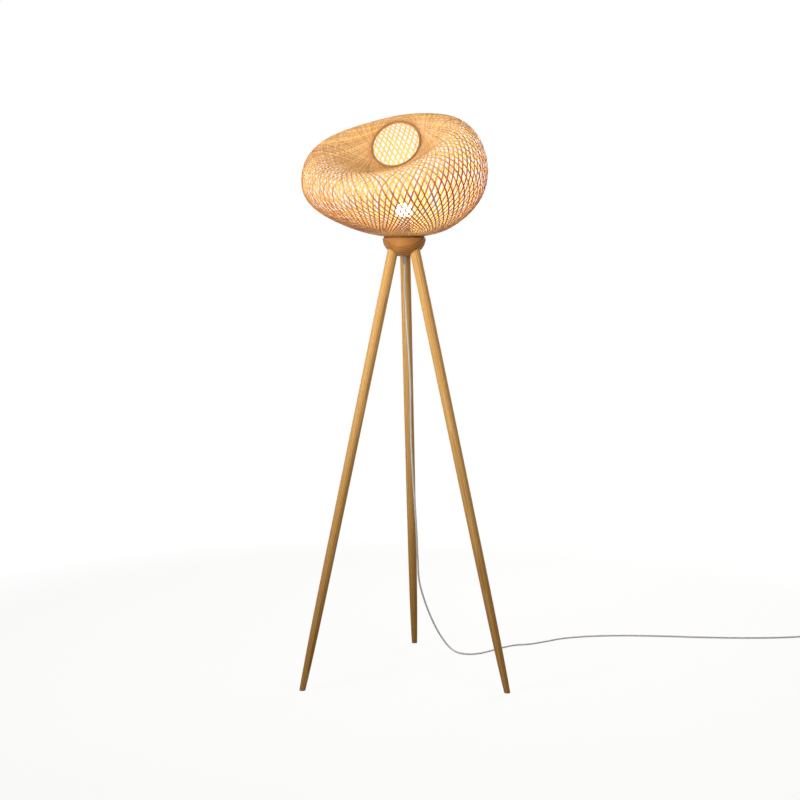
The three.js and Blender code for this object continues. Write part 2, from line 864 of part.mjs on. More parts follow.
function bulbParts() {
  const capBottom = bulbTipBottom + bulbTipHeight + fitGap;
  const capTop = capBottom + bulbCapHeight;
  const tip = turned(
    [
      [0, bulbTipBottom],
      [bulbTipRadius, bulbTipBottom],
      [bulbTipRadius, bulbTipBottom + bulbTipHeight],
      [bulbTipPostRadius, bulbTipBottom + bulbTipHeight],
      [bulbTipPostRadius, capBottom + bulbTipPostHeight],
      [0, capBottom + bulbTipPostHeight],
    ],
    smallFacets,
  );
  const tipHole = bulbTipPostRadius + fitGap;
  const capInner = bulbCapRadius - bulbCapWall;
  const cap = turned([
    [tipHole, capBottom],
    [bulbCapRadius - bulbCapShoulder, capBottom],
    [bulbCapRadius, capBottom + bulbCapShoulder],
    [bulbCapRadius, capTop],
    [capInner, capTop],
    [capInner, capBottom + bulbCapShoulder],
    [capInner - bulbCapShoulder, capBottom + bulbCapWall],
    [tipHole, capBottom + bulbCapWall],
    [tipHole, capBottom],
  ]);
  const globeMiddle = capBottom + bulbGlobeHeight;
  const seamAngle = -Math.acos(bulbSeamRadius / bulbGlobeRadius);
  const seamHeight = globeMiddle + bulbGlobeRadius * Math.sin(seamAngle);
  const globeInner = bulbGlobeRadius - bulbGlobeWall;
  const globe = turned([
    ...arcPoints(globeMiddle, globeInner, quarterTurn, seamAngle, bulbGlobeSteps),
    ...arcPoints(globeMiddle, bulbGlobeRadius, seamAngle, quarterTurn, bulbGlobeSteps),
  ]);
  const plugRadius = capInner - fitGap;
  const housingBottom = capTop + fitGap;
  const housingTop = globeMiddle + globeInner * Math.sin(seamAngle) - 2 * fitGap;
  const flare = new THREE.QuadraticBezierCurve(
    new THREE.Vector2(bulbHousingRadius, housingBottom),
    new THREE.Vector2(bulbHousingRadius, lerp(housingBottom, housingTop, 1 / 2)),
    new THREE.Vector2(bulbSeamRadius, seamHeight - 2 * fitGap),
  );
  const housing = turned([
    [0, capTop - bulbPlugDepth],
    [plugRadius, capTop - bulbPlugDepth],
    [plugRadius, housingBottom],
    ...flare.getPoints(bulbFlareSteps).map((point) => point.toArray()),
    [0, seamHeight - 2 * fitGap],
  ]);
  return [
    piece("bulb_contact", tip, "brass"),
    piece("bulb_cap", cap, "steel"),
    piece("bulb_housing", housing, "white_plastic"),
    piece("bulb_globe", globe, "diffuser"),
  ];
}

// Cord from the strain relief to the foot switch

const switchBottom = switchFloorClearance;
const glandHeight = switchBottom + switchGlandHeight;
const glandReach = switchLength / 2 + switchGlandLength;

function cordRun() {
  const start = reliefTip - fitGap / 2;
  const end = switchCentre[0] - glandReach - fitGap;
  const points = [
    [0, 0, start],
    [0, 0, start - cordStraight],
    ...cordRoute,
    [end - cordStraight, switchCentre[1], glandHeight],
    [end, switchCentre[1], glandHeight],
  ].map((place) => new THREE.Vector3(...place));
  return piece("cord_run", cordTube(new THREE.CatmullRomCurve3(points), cordSteps), "cord_plastic");
}

function cordTube(extrudePath, steps) {
  const section = new THREE.Shape(polygon(cordRadius, cordFacets));
  return new THREE.ExtrudeGeometry(section, { steps, extrudePath, bevelEnabled: false });
}

// Foot switch: base, cover and button

function switchParts() {
  const outline = roundedOutline(switchLength, switchWidth, switchWidth / 2);
  const pocket = roundedOutline(
    switchLength - 2 * switchWall,
    switchWidth - 2 * switchWall,
    switchWidth / 2 - switchWall,
  );
  const floorTop = switchBottom + switchWall;
  const baseTop = switchBottom + switchBaseHeight;
  const coverBottom = baseTop + fitGap;
  const coverTop = coverBottom + switchCoverHeight;
  const gland = (side) =>
    rod(switchGlandRadius, 0, switchGlandLength + switchWall / 2)
      .rotateY(side * quarterTurn)
      .translate(side * (switchLength / 2 - switchWall / 2), 0, glandHeight);
  const shell = (low, high) => softSlab(outline, low, high, switchEdgeRound);
  const above = new THREE.BoxGeometry(2 * switchLength, 2 * switchWidth, 2 * switchCoverHeight);
  const base = cut(
    join(shell(switchBottom, baseTop + 2 * switchEdgeRound), gland(-1), gland(1)),
    above.clone().translate(0, 0, baseTop + switchCoverHeight),
    slab(pocket, floorTop, baseTop + overrun, switchRoundSteps),
  );
  const buttonHole = rod(buttonRadius + fitGap, coverBottom, coverTop + overrun);
  const cover = cut(
    shell(coverBottom - 2 * switchEdgeRound, coverTop),
    above.translate(0, 0, coverBottom - switchCoverHeight),
    slab(pocket, coverBottom - overrun, coverTop - switchWall, switchRoundSteps),
    buttonHole,
  );
  const stemBottom = floorTop + buttonTravel + buttonStop;
  const flangeTop = coverTop - switchWall - fitGap;
  const flangeBottom = flangeTop - buttonFlangeThickness;
  const buttonTop = coverTop + buttonProud;
  const button = turned([
    [0, stemBottom],
    [buttonStemRadius, stemBottom],
    [buttonStemRadius, flangeBottom],
    [buttonRadius + buttonFlangeWidth, flangeBottom],
    [buttonRadius + buttonFlangeWidth, flangeTop],
    [buttonRadius, flangeTop],
    [buttonRadius, buttonTop - buttonEdgeRound],
    [buttonRadius - buttonEdgeRound, buttonTop],
    [0, buttonTop],
  ]);
  const group = new THREE.Group();
  group.position.set(...switchCentre, 0);
  group.add(
    piece("switch_base", base, "white_plastic"),
    piece("switch_cover", cover, "white_plastic"),
    piece("switch_button", button, "white_plastic"),
  );
  return group;
}

// Coil of spare cord. It starts on its far side, where the lead from the switch comes in level with it.

const coilOuterRadius = coilMeanRadius + (coilTurnsPerLayer * coilTurnPitch) / 2;
const coilInnerRadius = coilOuterRadius - coilTurnsPerLayer * coilTurnPitch;
const coilCentreY = switchCentre[1] - coilOuterRadius;
const coilTurns = 2 * coilTurnsPerLayer + coilReversalTurns;

// How far a place on the coil is through the reversal: below 0 on the lower layer, above 1 on the upper one
function reversalAt(turn) {
  return (turn - coilTurnsPerLayer) / coilReversalTurns;
}

function coilRadiusAt(turn) {
  const reversal = reversalAt(turn);
  const dip = Math.max(reversal * (1 - reversal), 0);
  const spread = Math.max(-reversal, reversal - 1, 0);
  return coilInnerRadius + (spread - dip) * coilReversalTurns * coilTurnPitch;
}

function coilPath() {
  const steps = Math.round(coilTurns * coilStepsPerTurn);
  const points = Array.from({ length: steps + 1 }, (_, i) => {
    const turn = (coilTurns * i) / steps;
    const height = coilHeight + coilLayerPitch * THREE.MathUtils.smoothstep(reversalAt(turn), 0, 1);
    const point = radialPoint(coilRadiusAt(turn), quarterTurn - fullTurn * turn, height);
    return point.add(new THREE.Vector3(coilCentreX, coilCentreY, 0));
  });
  const diameter = 2 * cordRadius;
  const first = points[0].clone().setX(points[0].x - diameter);
  const last = points.at(-1).clone().setX(points.at(-1).x - diameter);
  return [first, ...points, last];
}

function leastSelfGap(path) {
  const apart = coilStepsPerTurn / 2;
  let least = Infinity;
  for (let i = 0; i < path.length - 1; i++) {
    for (let j = i + apart; j < path.length - 1; j++) {
      for (const share of [0, 0.25, 0.5, 0.75]) {
        const here = path[i].clone().lerp(path[i + 1], share);
        const segment = new THREE.Line3(path[j], path[j + 1]);
        const there = segment.closestPointToPoint(here, true, new THREE.Vector3());
        least = Math.min(least, here.distanceTo(there));
      }
    }
  }
  return least - 2 * cordRadius;
}

function coilParts() {
  const path = coilPath();
  console.log("least gap between the coil's turns, mm:", leastSelfGap(path).toFixed(2));
  const coil = levelTube(path, cordRadius, coilFacets);
  const glandEnd = new THREE.Vector3(switchCentre[0] + glandReach + fitGap, switchCentre[1], glandHeight);
  const coilStart = path[0].clone().setX(path[0].x - fitGap);
  const nearGland = glandEnd.clone().setX(glandEnd.x + cordRadius);
  const nearCoil = coilStart.clone().setX(coilStart.x - cordRadius);
  const leadLine = new THREE.CatmullRomCurve3([glandEnd, nearGland, nearCoil, coilStart]);
  const lead = cordTube(leadLine, plugTailSteps);
  const reliefEnd = new THREE.Vector3(plugCentreX + plugReach + fitGap, path.at(-1).y, plugHeight);
  const coilEnd = path.at(-1).clone().setX(path.at(-1).x - fitGap);
  const beforeCoil = coilEnd.clone().setX(coilEnd.x - cordRadius);
  const afterRelief = reliefEnd.clone().setX(reliefEnd.x + cordRadius);
  const tailLine = new THREE.CatmullRomCurve3([coilEnd, beforeCoil, afterRelief, reliefEnd]);
  const tail = cordTube(tailLine, plugTailSteps);
  return [
    piece("cord_coil", coil, "cord_plastic"),
    piece("cord_lead", lead, "cord_plastic"),
    piece("cord_tail", tail, "cord_plastic"),
  ];
}

// A strap bent round the strands that pass at one angle, which stands upright on the coil's radius
function cordTie() {
  const firstPass = THREE.MathUtils.euclideanModulo(quarterTurn - degToRad(tieAngle), fullTurn) / fullTurn;
  const passCount = Math.ceil(coilTurns - firstPass);
  const passes = Array.from({ length: passCount }, (_, i) => coilRadiusAt(firstPass + i));
  const innerRadius = Math.min(...passes) - cordRadius - tieGap;
  const outerRadius = Math.max(...passes) + cordRadius + tieGap;
  const width = outerRadius - innerRadius;
  const height = coilLayerPitch + 2 * (cordRadius + tieGap);
  const strap = roundedOutline(
    width + 2 * tieThickness,
    height + 2 * tieThickness,
    tieCorner + tieThickness,
  );
  strap.holes.push(roundedOutline(width, height, tieCorner));
  const geometry = slab(strap, -tieWidth / 2, tieWidth / 2, tieCornerSteps).rotateX(quarterTurn);
  const tie = piece("cord_tie", geometry, "cord_plastic");
  tie.position.set((innerRadius + outerRadius) / 2, 0, coilHeight + coilLayerPitch / 2);
  const turn = new THREE.Group();
  turn.position.set(coilCentreX, coilCentreY, 0);
  turn.rotation.z = degToRad(tieAngle);
  turn.add(tie);
  return turn;
}

// Plug, lying on its flat side with its pins pointing away from the coil

const plugHeight = plugFloorClearance + plugBodyHeight / 2;
const plugReach = plugBodyLength / 2 + plugReliefLength;

function plugParts() {
  const outline = roundedOutline(plugBodyLength, plugBodyWidth, plugCornerRound);
  const front = -plugBodyLength / 2;
  const low = plugFloorClearance;
  const block = softSlab(outline, low, low + plugBodyHeight, plugEdgeRound);
  const relief = turned([
    [0, 0],
    [plugReliefRadius, 0],
    [plugReliefTipRadius, plugReach],
    [0, plugReach],
  ]);
  relief.rotateY(quarterTurn).translate(0, 0, plugHeight);
  const sides = { front: 1, back: -1 };
  const alongPin = (geometry, side) =>
    geometry.rotateY(-quarterTurn).translate(front, (side * pinSpacing) / 2, plugHeight);
  const holes = Object.values(sides).map((side) =>
    alongPin(rod(pinRadius + fitGap, -pinInBody - fitGap, overrun), side),
  );
  const pins = Object.entries(sides).map(([name, side]) =>
    piece("plug_pin_" + name, alongPin(rod(pinRadius, -pinInBody, pinLength), side), "steel"),
  );
  const group = new THREE.Group();
  group.position.set(plugCentreX, coilCentreY - coilOuterRadius, 0);
  group.add(piece("plug_body", cut(join(block, relief), ...holes), "white_plastic"), ...pins);
  return group;
}

// The whole lamp, with the middle of its own box over the origin

const standing = new THREE.Group();
const frames = Object.entries(legAngles).map(([name, degrees]) => {
  const frame = legFrame(degrees);
  frame.add(leg(name, frame), ...legFastenings(name));
  return frame;
});
standing.add(hub(frames), ...frames, ...tubeParts(), ...holderParts(), ...bulbParts());
standing.add(shadeCarrier(), clampRing(), neckHoop(), ...shadeBands(), throatHoop());

const lead = new THREE.Group();
lead.add(cordRun(), switchParts(), ...coilParts(), cordTie(), plugParts());

const lamp = new THREE.Group();
lamp.add(standing, lead);
const middle = new THREE.Box3().setFromObject(standing, true).getCenter(new THREE.Vector3());
lamp.position.set(-middle.x, -middle.y, 0);
console.log("the hub's axis stands at x, y, mm:", (-middle.x).toFixed(3), (-middle.y).toFixed(3));

const floorLamp = new THREE.Group();
floorLamp.add(lamp);
export default floorLamp;
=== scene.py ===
# %% [markdown]
# # A floor lamp with a woven shade
# Three tapered legs meet in a turned wooden hub. On the hub sits a hollow shade, woven from 192 split strips,
# that swells to a belly and folds in to a tilted throat. The CAD model of the lamp is loaded first, as a fixed
# frame in metres with +Z up. Every piece made below goes where that frame says.

import json
import math

import bpy
import numpy as np
from mathutils import Matrix, Vector

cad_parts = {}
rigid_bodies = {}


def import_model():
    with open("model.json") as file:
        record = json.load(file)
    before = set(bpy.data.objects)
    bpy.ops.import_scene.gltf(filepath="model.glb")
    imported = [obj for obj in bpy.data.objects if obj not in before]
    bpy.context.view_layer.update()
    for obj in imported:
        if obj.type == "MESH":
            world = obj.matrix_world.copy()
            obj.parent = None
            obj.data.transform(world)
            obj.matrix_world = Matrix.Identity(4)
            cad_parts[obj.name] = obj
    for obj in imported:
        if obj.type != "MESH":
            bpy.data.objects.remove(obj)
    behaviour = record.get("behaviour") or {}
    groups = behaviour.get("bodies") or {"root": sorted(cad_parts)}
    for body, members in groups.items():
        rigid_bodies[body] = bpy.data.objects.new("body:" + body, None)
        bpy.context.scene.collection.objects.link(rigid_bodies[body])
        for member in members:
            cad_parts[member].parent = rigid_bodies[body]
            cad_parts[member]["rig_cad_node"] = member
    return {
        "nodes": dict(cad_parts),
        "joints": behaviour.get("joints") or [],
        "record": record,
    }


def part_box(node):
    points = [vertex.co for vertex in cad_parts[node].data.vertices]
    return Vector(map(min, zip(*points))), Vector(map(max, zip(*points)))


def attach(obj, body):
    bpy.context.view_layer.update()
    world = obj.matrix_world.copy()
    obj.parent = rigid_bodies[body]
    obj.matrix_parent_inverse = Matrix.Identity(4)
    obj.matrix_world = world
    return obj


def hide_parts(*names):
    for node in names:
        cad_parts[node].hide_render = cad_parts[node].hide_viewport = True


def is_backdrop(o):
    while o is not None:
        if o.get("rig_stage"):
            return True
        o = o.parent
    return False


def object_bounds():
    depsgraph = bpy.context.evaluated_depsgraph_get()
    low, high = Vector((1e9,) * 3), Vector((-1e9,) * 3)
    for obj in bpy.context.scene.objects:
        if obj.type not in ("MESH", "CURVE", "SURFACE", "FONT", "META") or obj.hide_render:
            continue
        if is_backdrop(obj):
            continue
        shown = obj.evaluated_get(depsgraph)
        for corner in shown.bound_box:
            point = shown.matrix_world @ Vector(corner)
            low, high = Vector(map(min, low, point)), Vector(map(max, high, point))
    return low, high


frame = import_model()
cad_low, cad_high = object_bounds()
mm = 0.001
joints = {joint["name"]: joint for joint in frame["joints"]}
hub_axis = Vector(joints["bulb_turn"]["pos_m"][:2] + [0])
print("CAD nodes:", len(frame["nodes"]), "hub axis:", tuple(round(x, 5) for x in hub_axis))

# %% [markdown]
# ## The camera
# A product photograph like this is taken from a few metres away with a long lens, a little below the shade and
# tipped down slightly. Yaw, pitch and roll give the camera's right, up and backward directions, and a matrix
# with these as its columns turns the camera.

# %% Place the camera
camera_distance, camera_height = 3.9628, 1.20667
sensor_width, focal_length = 36, 63.09
yaw, pitch, roll = (math.radians(angle) for angle in (0.23, -5.88, -0.52))
level_right = Vector((math.cos(yaw), math.sin(yaw), 0))
level_ahead = Vector((-math.sin(yaw), math.cos(yaw), 0))
upward = Vector((0, 0, 1))
ahead = math.cos(pitch) * level_ahead + math.sin(pitch) * upward
pitched_up = math.cos(pitch) * upward - math.sin(pitch) * level_ahead
camera_right = math.cos(roll) * level_right + math.sin(roll) * pitched_up
camera_up = math.cos(roll) * pitched_up - math.sin(roll) * level_right


def select_nothing():
    bpy.ops.object.select_all(action="DESELECT")


select_nothing()
bpy.ops.object.camera_add(location=hub_axis + Vector((0, -camera_distance, camera_height)))
camera = bpy.context.object
camera.data.sensor_width, camera.data.lens = sensor_width, focal_length
camera.rotation_euler = Matrix((camera_right, camera_up, -ahead)).transposed().to_euler()
bpy.context.scene.camera = camera
bpy.context.scene.view_settings.view_transform = "Standard"
print("camera at", tuple(round(x, 3) for x in camera.location), "lens", camera.data.lens)

# %% [markdown]
# ## The route of the cord
# The cord leaves the hub straight down, hangs beside the rear leg, lands behind it in a soft bend and runs
# along the floor to the foot switch. The points are those of the CAD source, in millimetres from the hub's
# axis. A Catmull-Rom line passes through every one, so the drawn cord lies where the CAD cord does.

# %% A smooth line through points
def smooth_route(points, steps_a_span=10):
    """A centripetal Catmull-Rom line through the points, its end spans mirrored outward."""
    points = np.array(points, float)
    points = np.vstack([2 * points[0] - points[1], points, 2 * points[-1] - points[-2]])
    line = []
    for before, start, end, after in zip(points, points[1:], points[2:], points[3:]):
        gaps = [math.sqrt(math.dist(*pair)) for pair in ((before, start), (start, end), (end, after))]
        leave = (start - before) / gaps[0] - (end - before) / (gaps[0] + gaps[1]) + (end - start) / gaps[1]
        arrive = (end - start) / gaps[1] - (after - start) / (gaps[1] + gaps[2]) + (after - end) / gaps[2]
        leave, arrive = leave * gaps[1], arrive * gaps[1]
        for step in range(steps_a_span):
            t = step / steps_a_span
            bend = (-3 * start + 3 * end - 2 * leave - arrive) * t * t
            line.append(start + leave * t + bend + (2 * start - 2 * end + leave + arrive) * t**3)
    return np.array(line + [points[-2]])


def on_the_hub_axis(points):
    """Millimetres from the hub's axis as metres in the frame."""
    return np.array(points, float) * mm + np.array(hub_axis)


def unit(vectors):
    return vectors / np.linalg.norm(vectors, axis=-1, keepdims=True)


def way_along(line):
    """The distance from a line's start to each of its points, also for several lines at once."""
    steps = np.linalg.norm(np.diff(line, axis=-2), axis=-1)
    return np.concatenate([np.zeros(steps.shape[:-1] + (1,)), steps.cumsum(axis=-1)], axis=-1)


relief_tip, relief_gap, straight_drop = 1182.86, 0.15, 16
switch_x, switch_y, gland_reach, gland_height, gland_gap = 1303, 345, 47, 5.6, 0.3
run_end, lying = switch_x - gland_reach - gland_gap, 3.6
cord_start = relief_tip - relief_gap
hanging = [
    (0, 0, cord_start), (0, 0, cord_start - straight_drop), (0, 2, 1120), (4, 6, 1030), (10, 12, 930),
    (14, 20, 830), (14, 33, 730), (16, 47, 640), (20, 62, 555), (25, 80, 475), (29, 103, 395),
    (32, 133, 310), (36, 160, 238), (52, 186, 170), (75, 207, 105), (101, 218, 52), (128, 214, 17),
]
floor_track = [
    (181, 186), (215, 192), (254, 221), (293, 255), (331, 280), (376, 290), (424, 315), (487, 352),
    (570, 374), (680, 380), (800, 370), (920, 353), (1040, 342), (1150, 341),
]
along_the_floor = [
    (151, 200, 5.2), *((x, y, lying) for x, y in floor_track),
    (1205, 344, 4.2), (run_end - 16, switch_y, gland_height), (run_end, switch_y, gland_height),
]
run_line = on_the_hub_axis(smooth_route(hanging + along_the_floor))
print("cord from hub to switch, m:", way_along(run_line)[-1].round(3))

# %% [markdown]
# ## The spare cord
# Behind the switch the rest of the cord is wound up: two turns on the floor going inward, half a turn that
# climbs a layer, and two turns back outward on top. A formula for radius and height gives such a spiral.

# %% The coil's line
coil_x, coil_y = 1398, 307.7
coil_inner, coil_pitch, coil_layer, coil_low = 24.7, 6.3, 6.1, 4.2
layer_turns, climb_turns, steps_a_coil_turn = 2, 0.5, 40
coil_turns = 2 * layer_turns + climb_turns
turns = np.linspace(0, coil_turns, round(coil_turns * steps_a_coil_turn) + 1)
reversal = (turns - layer_turns) / climb_turns
dip = np.maximum(reversal * (1 - reversal), 0)
spread = np.maximum(np.maximum(-reversal, reversal - 1), 0)
coil_radius = coil_inner + (spread - dip) * climb_turns * coil_pitch
climb = np.clip(reversal, 0, 1)
coil_height = coil_low + coil_layer * climb**2 * (3 - 2 * climb)
coil_angle = math.pi / 2 - 2 * math.pi * turns
coil = np.column_stack(
    [coil_x + coil_radius * np.cos(coil_angle), coil_y + coil_radius * np.sin(coil_angle), coil_height]
)
straight, coil_gap = np.array([2.8, 0, 0]), np.array([5.9, 0, 0])
switch_exit = np.array([switch_x + gland_reach + gland_gap, switch_y, gland_height])
plug_entry = np.array([1359.3, 270.4, 7.25])
coil_start, coil_end = coil[0] - coil_gap, coil[-1] - coil_gap
lead_in = smooth_route([switch_exit, switch_exit + straight, coil_start - straight, coil_start])
lead_out = smooth_route([coil_end, coil_end - straight, plug_entry + straight, plug_entry])
coil_line = on_the_hub_axis(np.vstack([lead_in, coil, lead_out]))
print("cord from switch to plug, m:", way_along(coil_line)[-1].round(3))

# %% [markdown]
# ## The cord itself
# A mains cord is a round sheath. A ring of points is carried along its line and turned at each step only as
# much as the line turns, so the sheath doesn't twist. The UV map holds the distance along it and round it in
# metres. The weave and the rim are walls round rings of points as well, so one function makes them all.

# %% Make the two lengths of cord
cord_radius = 2.8 * mm


def spaced(line, step):
    """The same line with its points a fixed distance apart."""
    travelled = way_along(line)
    wanted = np.linspace(0, travelled[-1], round(travelled[-1] / step) + 1)
    return np.column_stack([np.interp(wanted, travelled, line[:, axis]) for axis in range(3)]), wanted


def tubes(name, points, travelled, flat, closed=False, smooth=True):
    """Walls round one or more lines of rings, as one mesh, with capped ends or closed to a loop.

    The UV map's lengths are travelled, one for each ring, and its widths are flat, one for each corner of a
    ring, with one more where a line or a ring closes.
    """
    count, rows, sides = points.shape[:3]
    first, row = np.arange(count)[:, None, None] * rows, np.arange(rows if closed else rows - 1)[:, None]
    here, after = (first + row) * sides, (first + (row + 1) % rows) * sides
    corner, beside = np.arange(sides), (np.arange(sides) + 1) % sides
    faces = np.stack([here + corner, here + beside, after + beside, after + corner], axis=3)
    ends = [] if closed else [(0, range(sides - 1, -1, -1)), (rows - 1, range(sides))]
    caps = [[(i * rows + end) * sides + j for j in order] for i in range(count) for end, order in ends]
    uv = np.stack(np.broadcast_arrays(travelled[:, :, None], flat[:, None]), axis=3)
    uv = np.stack([uv[:, :-1, :-1], uv[:, :-1, 1:], uv[:, 1:, 1:], uv[:, 1:, :-1]], axis=3)
    uv = np.vstack([uv.reshape(-1, 2), np.zeros((len(caps) * sides, 2))]).astype(np.float32)
    mesh = bpy.data.meshes.new(name)
    mesh.from_pydata(points.reshape(-1, 3).tolist(), [], faces.reshape(-1, 4).tolist() + caps)
    mesh.uv_layers.new(name="UVMap").data.foreach_set("uv", uv.ravel())
    mesh.polygons.foreach_set("use_smooth", [smooth] * len(mesh.polygons))
    mesh.update()
    piece = bpy.data.objects.new(name, mesh)
    bpy.context.scene.collection.objects.link(piece)
    return piece


def sheath(name, line, radius, step, sides=14):
    """A round cord along a line, and the points that its middle runs through."""
    line, travelled = spaced(line, step)
    ahead_at, askew = unit(np.gradient(line, axis=0)), (0.31, 0.67, 0.67)
    side = np.cross(ahead_at[0], askew)
    angles = 2 * math.pi * np.arange(sides + 1) / sides
    circle = np.column_stack([np.cos(angles), np.sin(angles)])[:-1]
    rings = []
    for here, forward in zip(line, ahead_at):
        side = unit(side - forward * (side @ forward))
        rings.append(here + radius * circle @ [side, np.cross(forward, side)])
    return tubes(name, np.array([rings]), travelled[None], radius * angles[None]), line


cord_to_switch, run_points = sheath("cord_to_switch", run_line, cord_radius, 6 * mm)
cord_to_plug, coil_points = sheath("cord_to_plug", coil_line, cord_radius, 3 * mm)
print("cord faces:", len(cord_to_switch.data.polygons), len(cord_to_plug.data.polygons))

# %% [markdown]
# ## The floor and the light
# The lamp stands in a white studio. A soft light from the left models the legs, a weaker one from the right
# fills their shadows, a low one reaches the shade's underside, one above lights the crest, and one from behind
# lights the cord and the far side. A grid before each narrows its spread, so the feet get less than the shade.
# Each has a place, an aim and a size in metres, a power in watts and a spread in degrees.

# %% Lay the floor and hang the lights
def soft_light(name, place, aim, size, power, spread):
    select_nothing()
    bpy.ops.object.light_add(type="AREA", location=place)
    light = bpy.context.object
    light.name, light.data.size, light.data.energy = name, size, power
    light.data.spread = math.radians(spread)
    light.rotation_euler = (Vector(aim) - Vector(place)).to_track_quat("-Z", "Y").to_euler()


select_nothing()
bpy.ops.mesh.primitive_plane_add(size=24)
floor = bpy.context.object
floor.name = "floor"
floor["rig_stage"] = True
soft_light("key", (-2.1, -1.45, 1.8), (0, 0, 1.4), 0.9, 15, 80)
soft_light("fill", (1.6, -2.2, 2.0), (0, 0, 1.3), 1.4, 5.5, 80)
soft_light("low", (-1.0, -2.1, 0.3), (0, 0, 1.35), 0.8, 3.1, 56)
soft_light("top", (0.2, -0.5, 3.2), (0, 0, 1.4), 1.4, 4, 100)
soft_light("back", (1.3, 2.5, 2.0), (0.4, 0.2, 0.7), 1.6, 22, 110)

# %% [markdown]
# ## Writing materials as sums
# Shader nodes are easier to read as arithmetic. A Wire is one output of a node, and adding or multiplying wires
# adds Math nodes. Colours go through Mix nodes, because a Math node would turn them grey. A Recipe is the tree
# that is being written, and its node() method adds any other node.

# %% The Wire and Recipe classes
class Wire:
    """One output of a shader node."""

    def __init__(self, recipe, socket):
        self.recipe, self.socket = recipe, socket

    def __add__(self, other):
        return self.recipe.maths("ADD", self, other)

    def __sub__(self, other):
        return self.recipe.maths("SUBTRACT", self, other)

    def __rsub__(self, other):
        return self.recipe.maths("SUBTRACT", other, self)

    def __mul__(self, other):
        return self.recipe.maths("MULTIPLY", self, other)

    __radd__, __rmul__ = __add__, __mul__


class Recipe:
    """A node tree that is being written, for a material or for the world."""

    def __init__(self, owner):
        owner.use_nodes = True
        self.owner, self.tree = owner, owner.node_tree
        self.tree.nodes.clear()

    def node(self, kind, settings=None, inputs=None, output=0):
        made = self.tree.nodes.new(kind)
        for name, value in (settings or {}).items():
            setattr(made, name, value)
        for name, value in (inputs or {}).items():
            if isinstance(value, Wire):
                self.tree.links.new(value.socket, made.inputs[name])
            else:
                made.inputs[name].default_value = value
        return Wire(self, made.outputs[output]) if made.outputs else None

    def place(self):
        return self.node("ShaderNodeTexCoord", output="Object")

    def uv(self):
        return self.node("ShaderNodeUVMap", {"uv_map": "UVMap"})

    def attribute(self, name, output="Fac"):
        return self.node("ShaderNodeAttribute", {"attribute_name": name}, output=output)

    def part(self, vector, axis):
        return self.node("ShaderNodeSeparateXYZ", inputs={0: vector}, output=axis)

    def maths(self, operation, first, second=0.0):
        return self.node("ShaderNodeMath", {"operation": operation}, {0: first, 1: second})

    def vector_maths(self, operation, first, second=(0, 0, 0), output=0):
        return self.node("ShaderNodeVectorMath", {"operation": operation}, {0: first, 1: second}, output)

    def noise(self, vector, scale, detail=2.0, roughness=0.5):
        inputs = {"Vector": vector, "Scale": scale, "Detail": detail, "Roughness": roughness}
        return self.node("ShaderNodeTexNoise", inputs=inputs)

    def off_middle(self, value):
        """How far the fraction of a value is from a half."""
        return self.maths("ABSOLUTE", self.maths("FRACT", value) - 0.5)

    def drawn_out(self, vector, by, detail=2.0, roughness=0.5):
        """Noise with its own count of spots for each metre along each axis."""
        return self.noise(self.vector_maths("MULTIPLY", vector, by), 1.0, detail, roughness)

    def mixed(self, factor, first, second):
        return self.node("ShaderNodeMix", {"data_type": "RGBA"}, {0: factor, 6: first, 7: second}, output=2)

    def between(self, value, low, high):
        """0 below low, 1 above high, and a smooth step between."""
        inputs = {"Value": value, "From Min": low, "From Max": high}
        return self.node("ShaderNodeMapRange", {"interpolation_type": "SMOOTHSTEP"}, inputs)

    def bumped(self, height, strength, distance):
        inputs = {"Height": height, "Strength": strength, "Distance": distance}
        return self.node("ShaderNodeBump", inputs=inputs)

    def surface(self, **sockets):
        named = {name.replace("_", " "): value for name, value in sockets.items()}
        shader = self.node("ShaderNodeBsdfPrincipled", inputs=named)
        self.node("ShaderNodeOutputMaterial", inputs={"Surface": shader})
        return self.owner


def tint(red, green, blue):
    """A colour as an editor shows it, 0 to 255, as the linear values that a shader takes."""
    linear = [((c / 255 + 0.055) / 1.055) ** 2.4 if c > 10 else c / 3294.6 for c in (red, green, blue)]
    return (*linear, 1)


print("a mid honey colour in linear light:", [round(c, 3) for c in tint(214, 152, 92)])

# %% [markdown]
# ## White floor, white room
# Near the lamp the floor shows its soft shadow, and further out it fades to the white of the room, so no
# horizon shows. The room lights the lamp a little, and its full white is only for the camera, reflections and
# glass: Light Path tells those rays from the ones that carry light. The floor's own white is stronger near the
# lamp, where the matt floor is mixed in.

# %% Write the floor and the world
def seen_directly(recipe):
    """1 for rays from the camera, reflections and glass, and 0 for those that only carry light."""
    kinds = ("Is Camera Ray", "Is Glossy Ray", "Is Transmission Ray")
    camera_ray, glossy_ray, glass_ray = (recipe.node("ShaderNodeLightPath", output=kind) for kind in kinds)
    return recipe.maths("MAXIMUM", recipe.maths("MAXIMUM", camera_ray, glossy_ray), glass_ray)


white, far_white, matt_share = (1, 1, 1, 1), (0.668, 0.668, 0.668, 1), 0.4
fade_start, fade_end = 1.5, 3.0
recipe = Recipe(bpy.data.materials.new("studio_floor"))
reach = recipe.vector_maths("LENGTH", recipe.place(), output="Value")
distant = recipe.between(reach, fade_start, fade_end)
faded = distant * matt_share + (1 - matt_share)
matt = recipe.node("ShaderNodeBsdfDiffuse", inputs={"Color": tint(140, 137, 132)})
whiteness = {"Color": recipe.mixed(distant, white, far_white), "Strength": 1.5}
glare = recipe.node("ShaderNodeEmission", inputs=whiteness)
mixed = recipe.node("ShaderNodeMixShader", inputs={0: faded * seen_directly(recipe), 1: matt, 2: glare})
recipe.node("ShaderNodeOutputMaterial", inputs={"Surface": mixed})
floor.data.materials.append(recipe.owner)

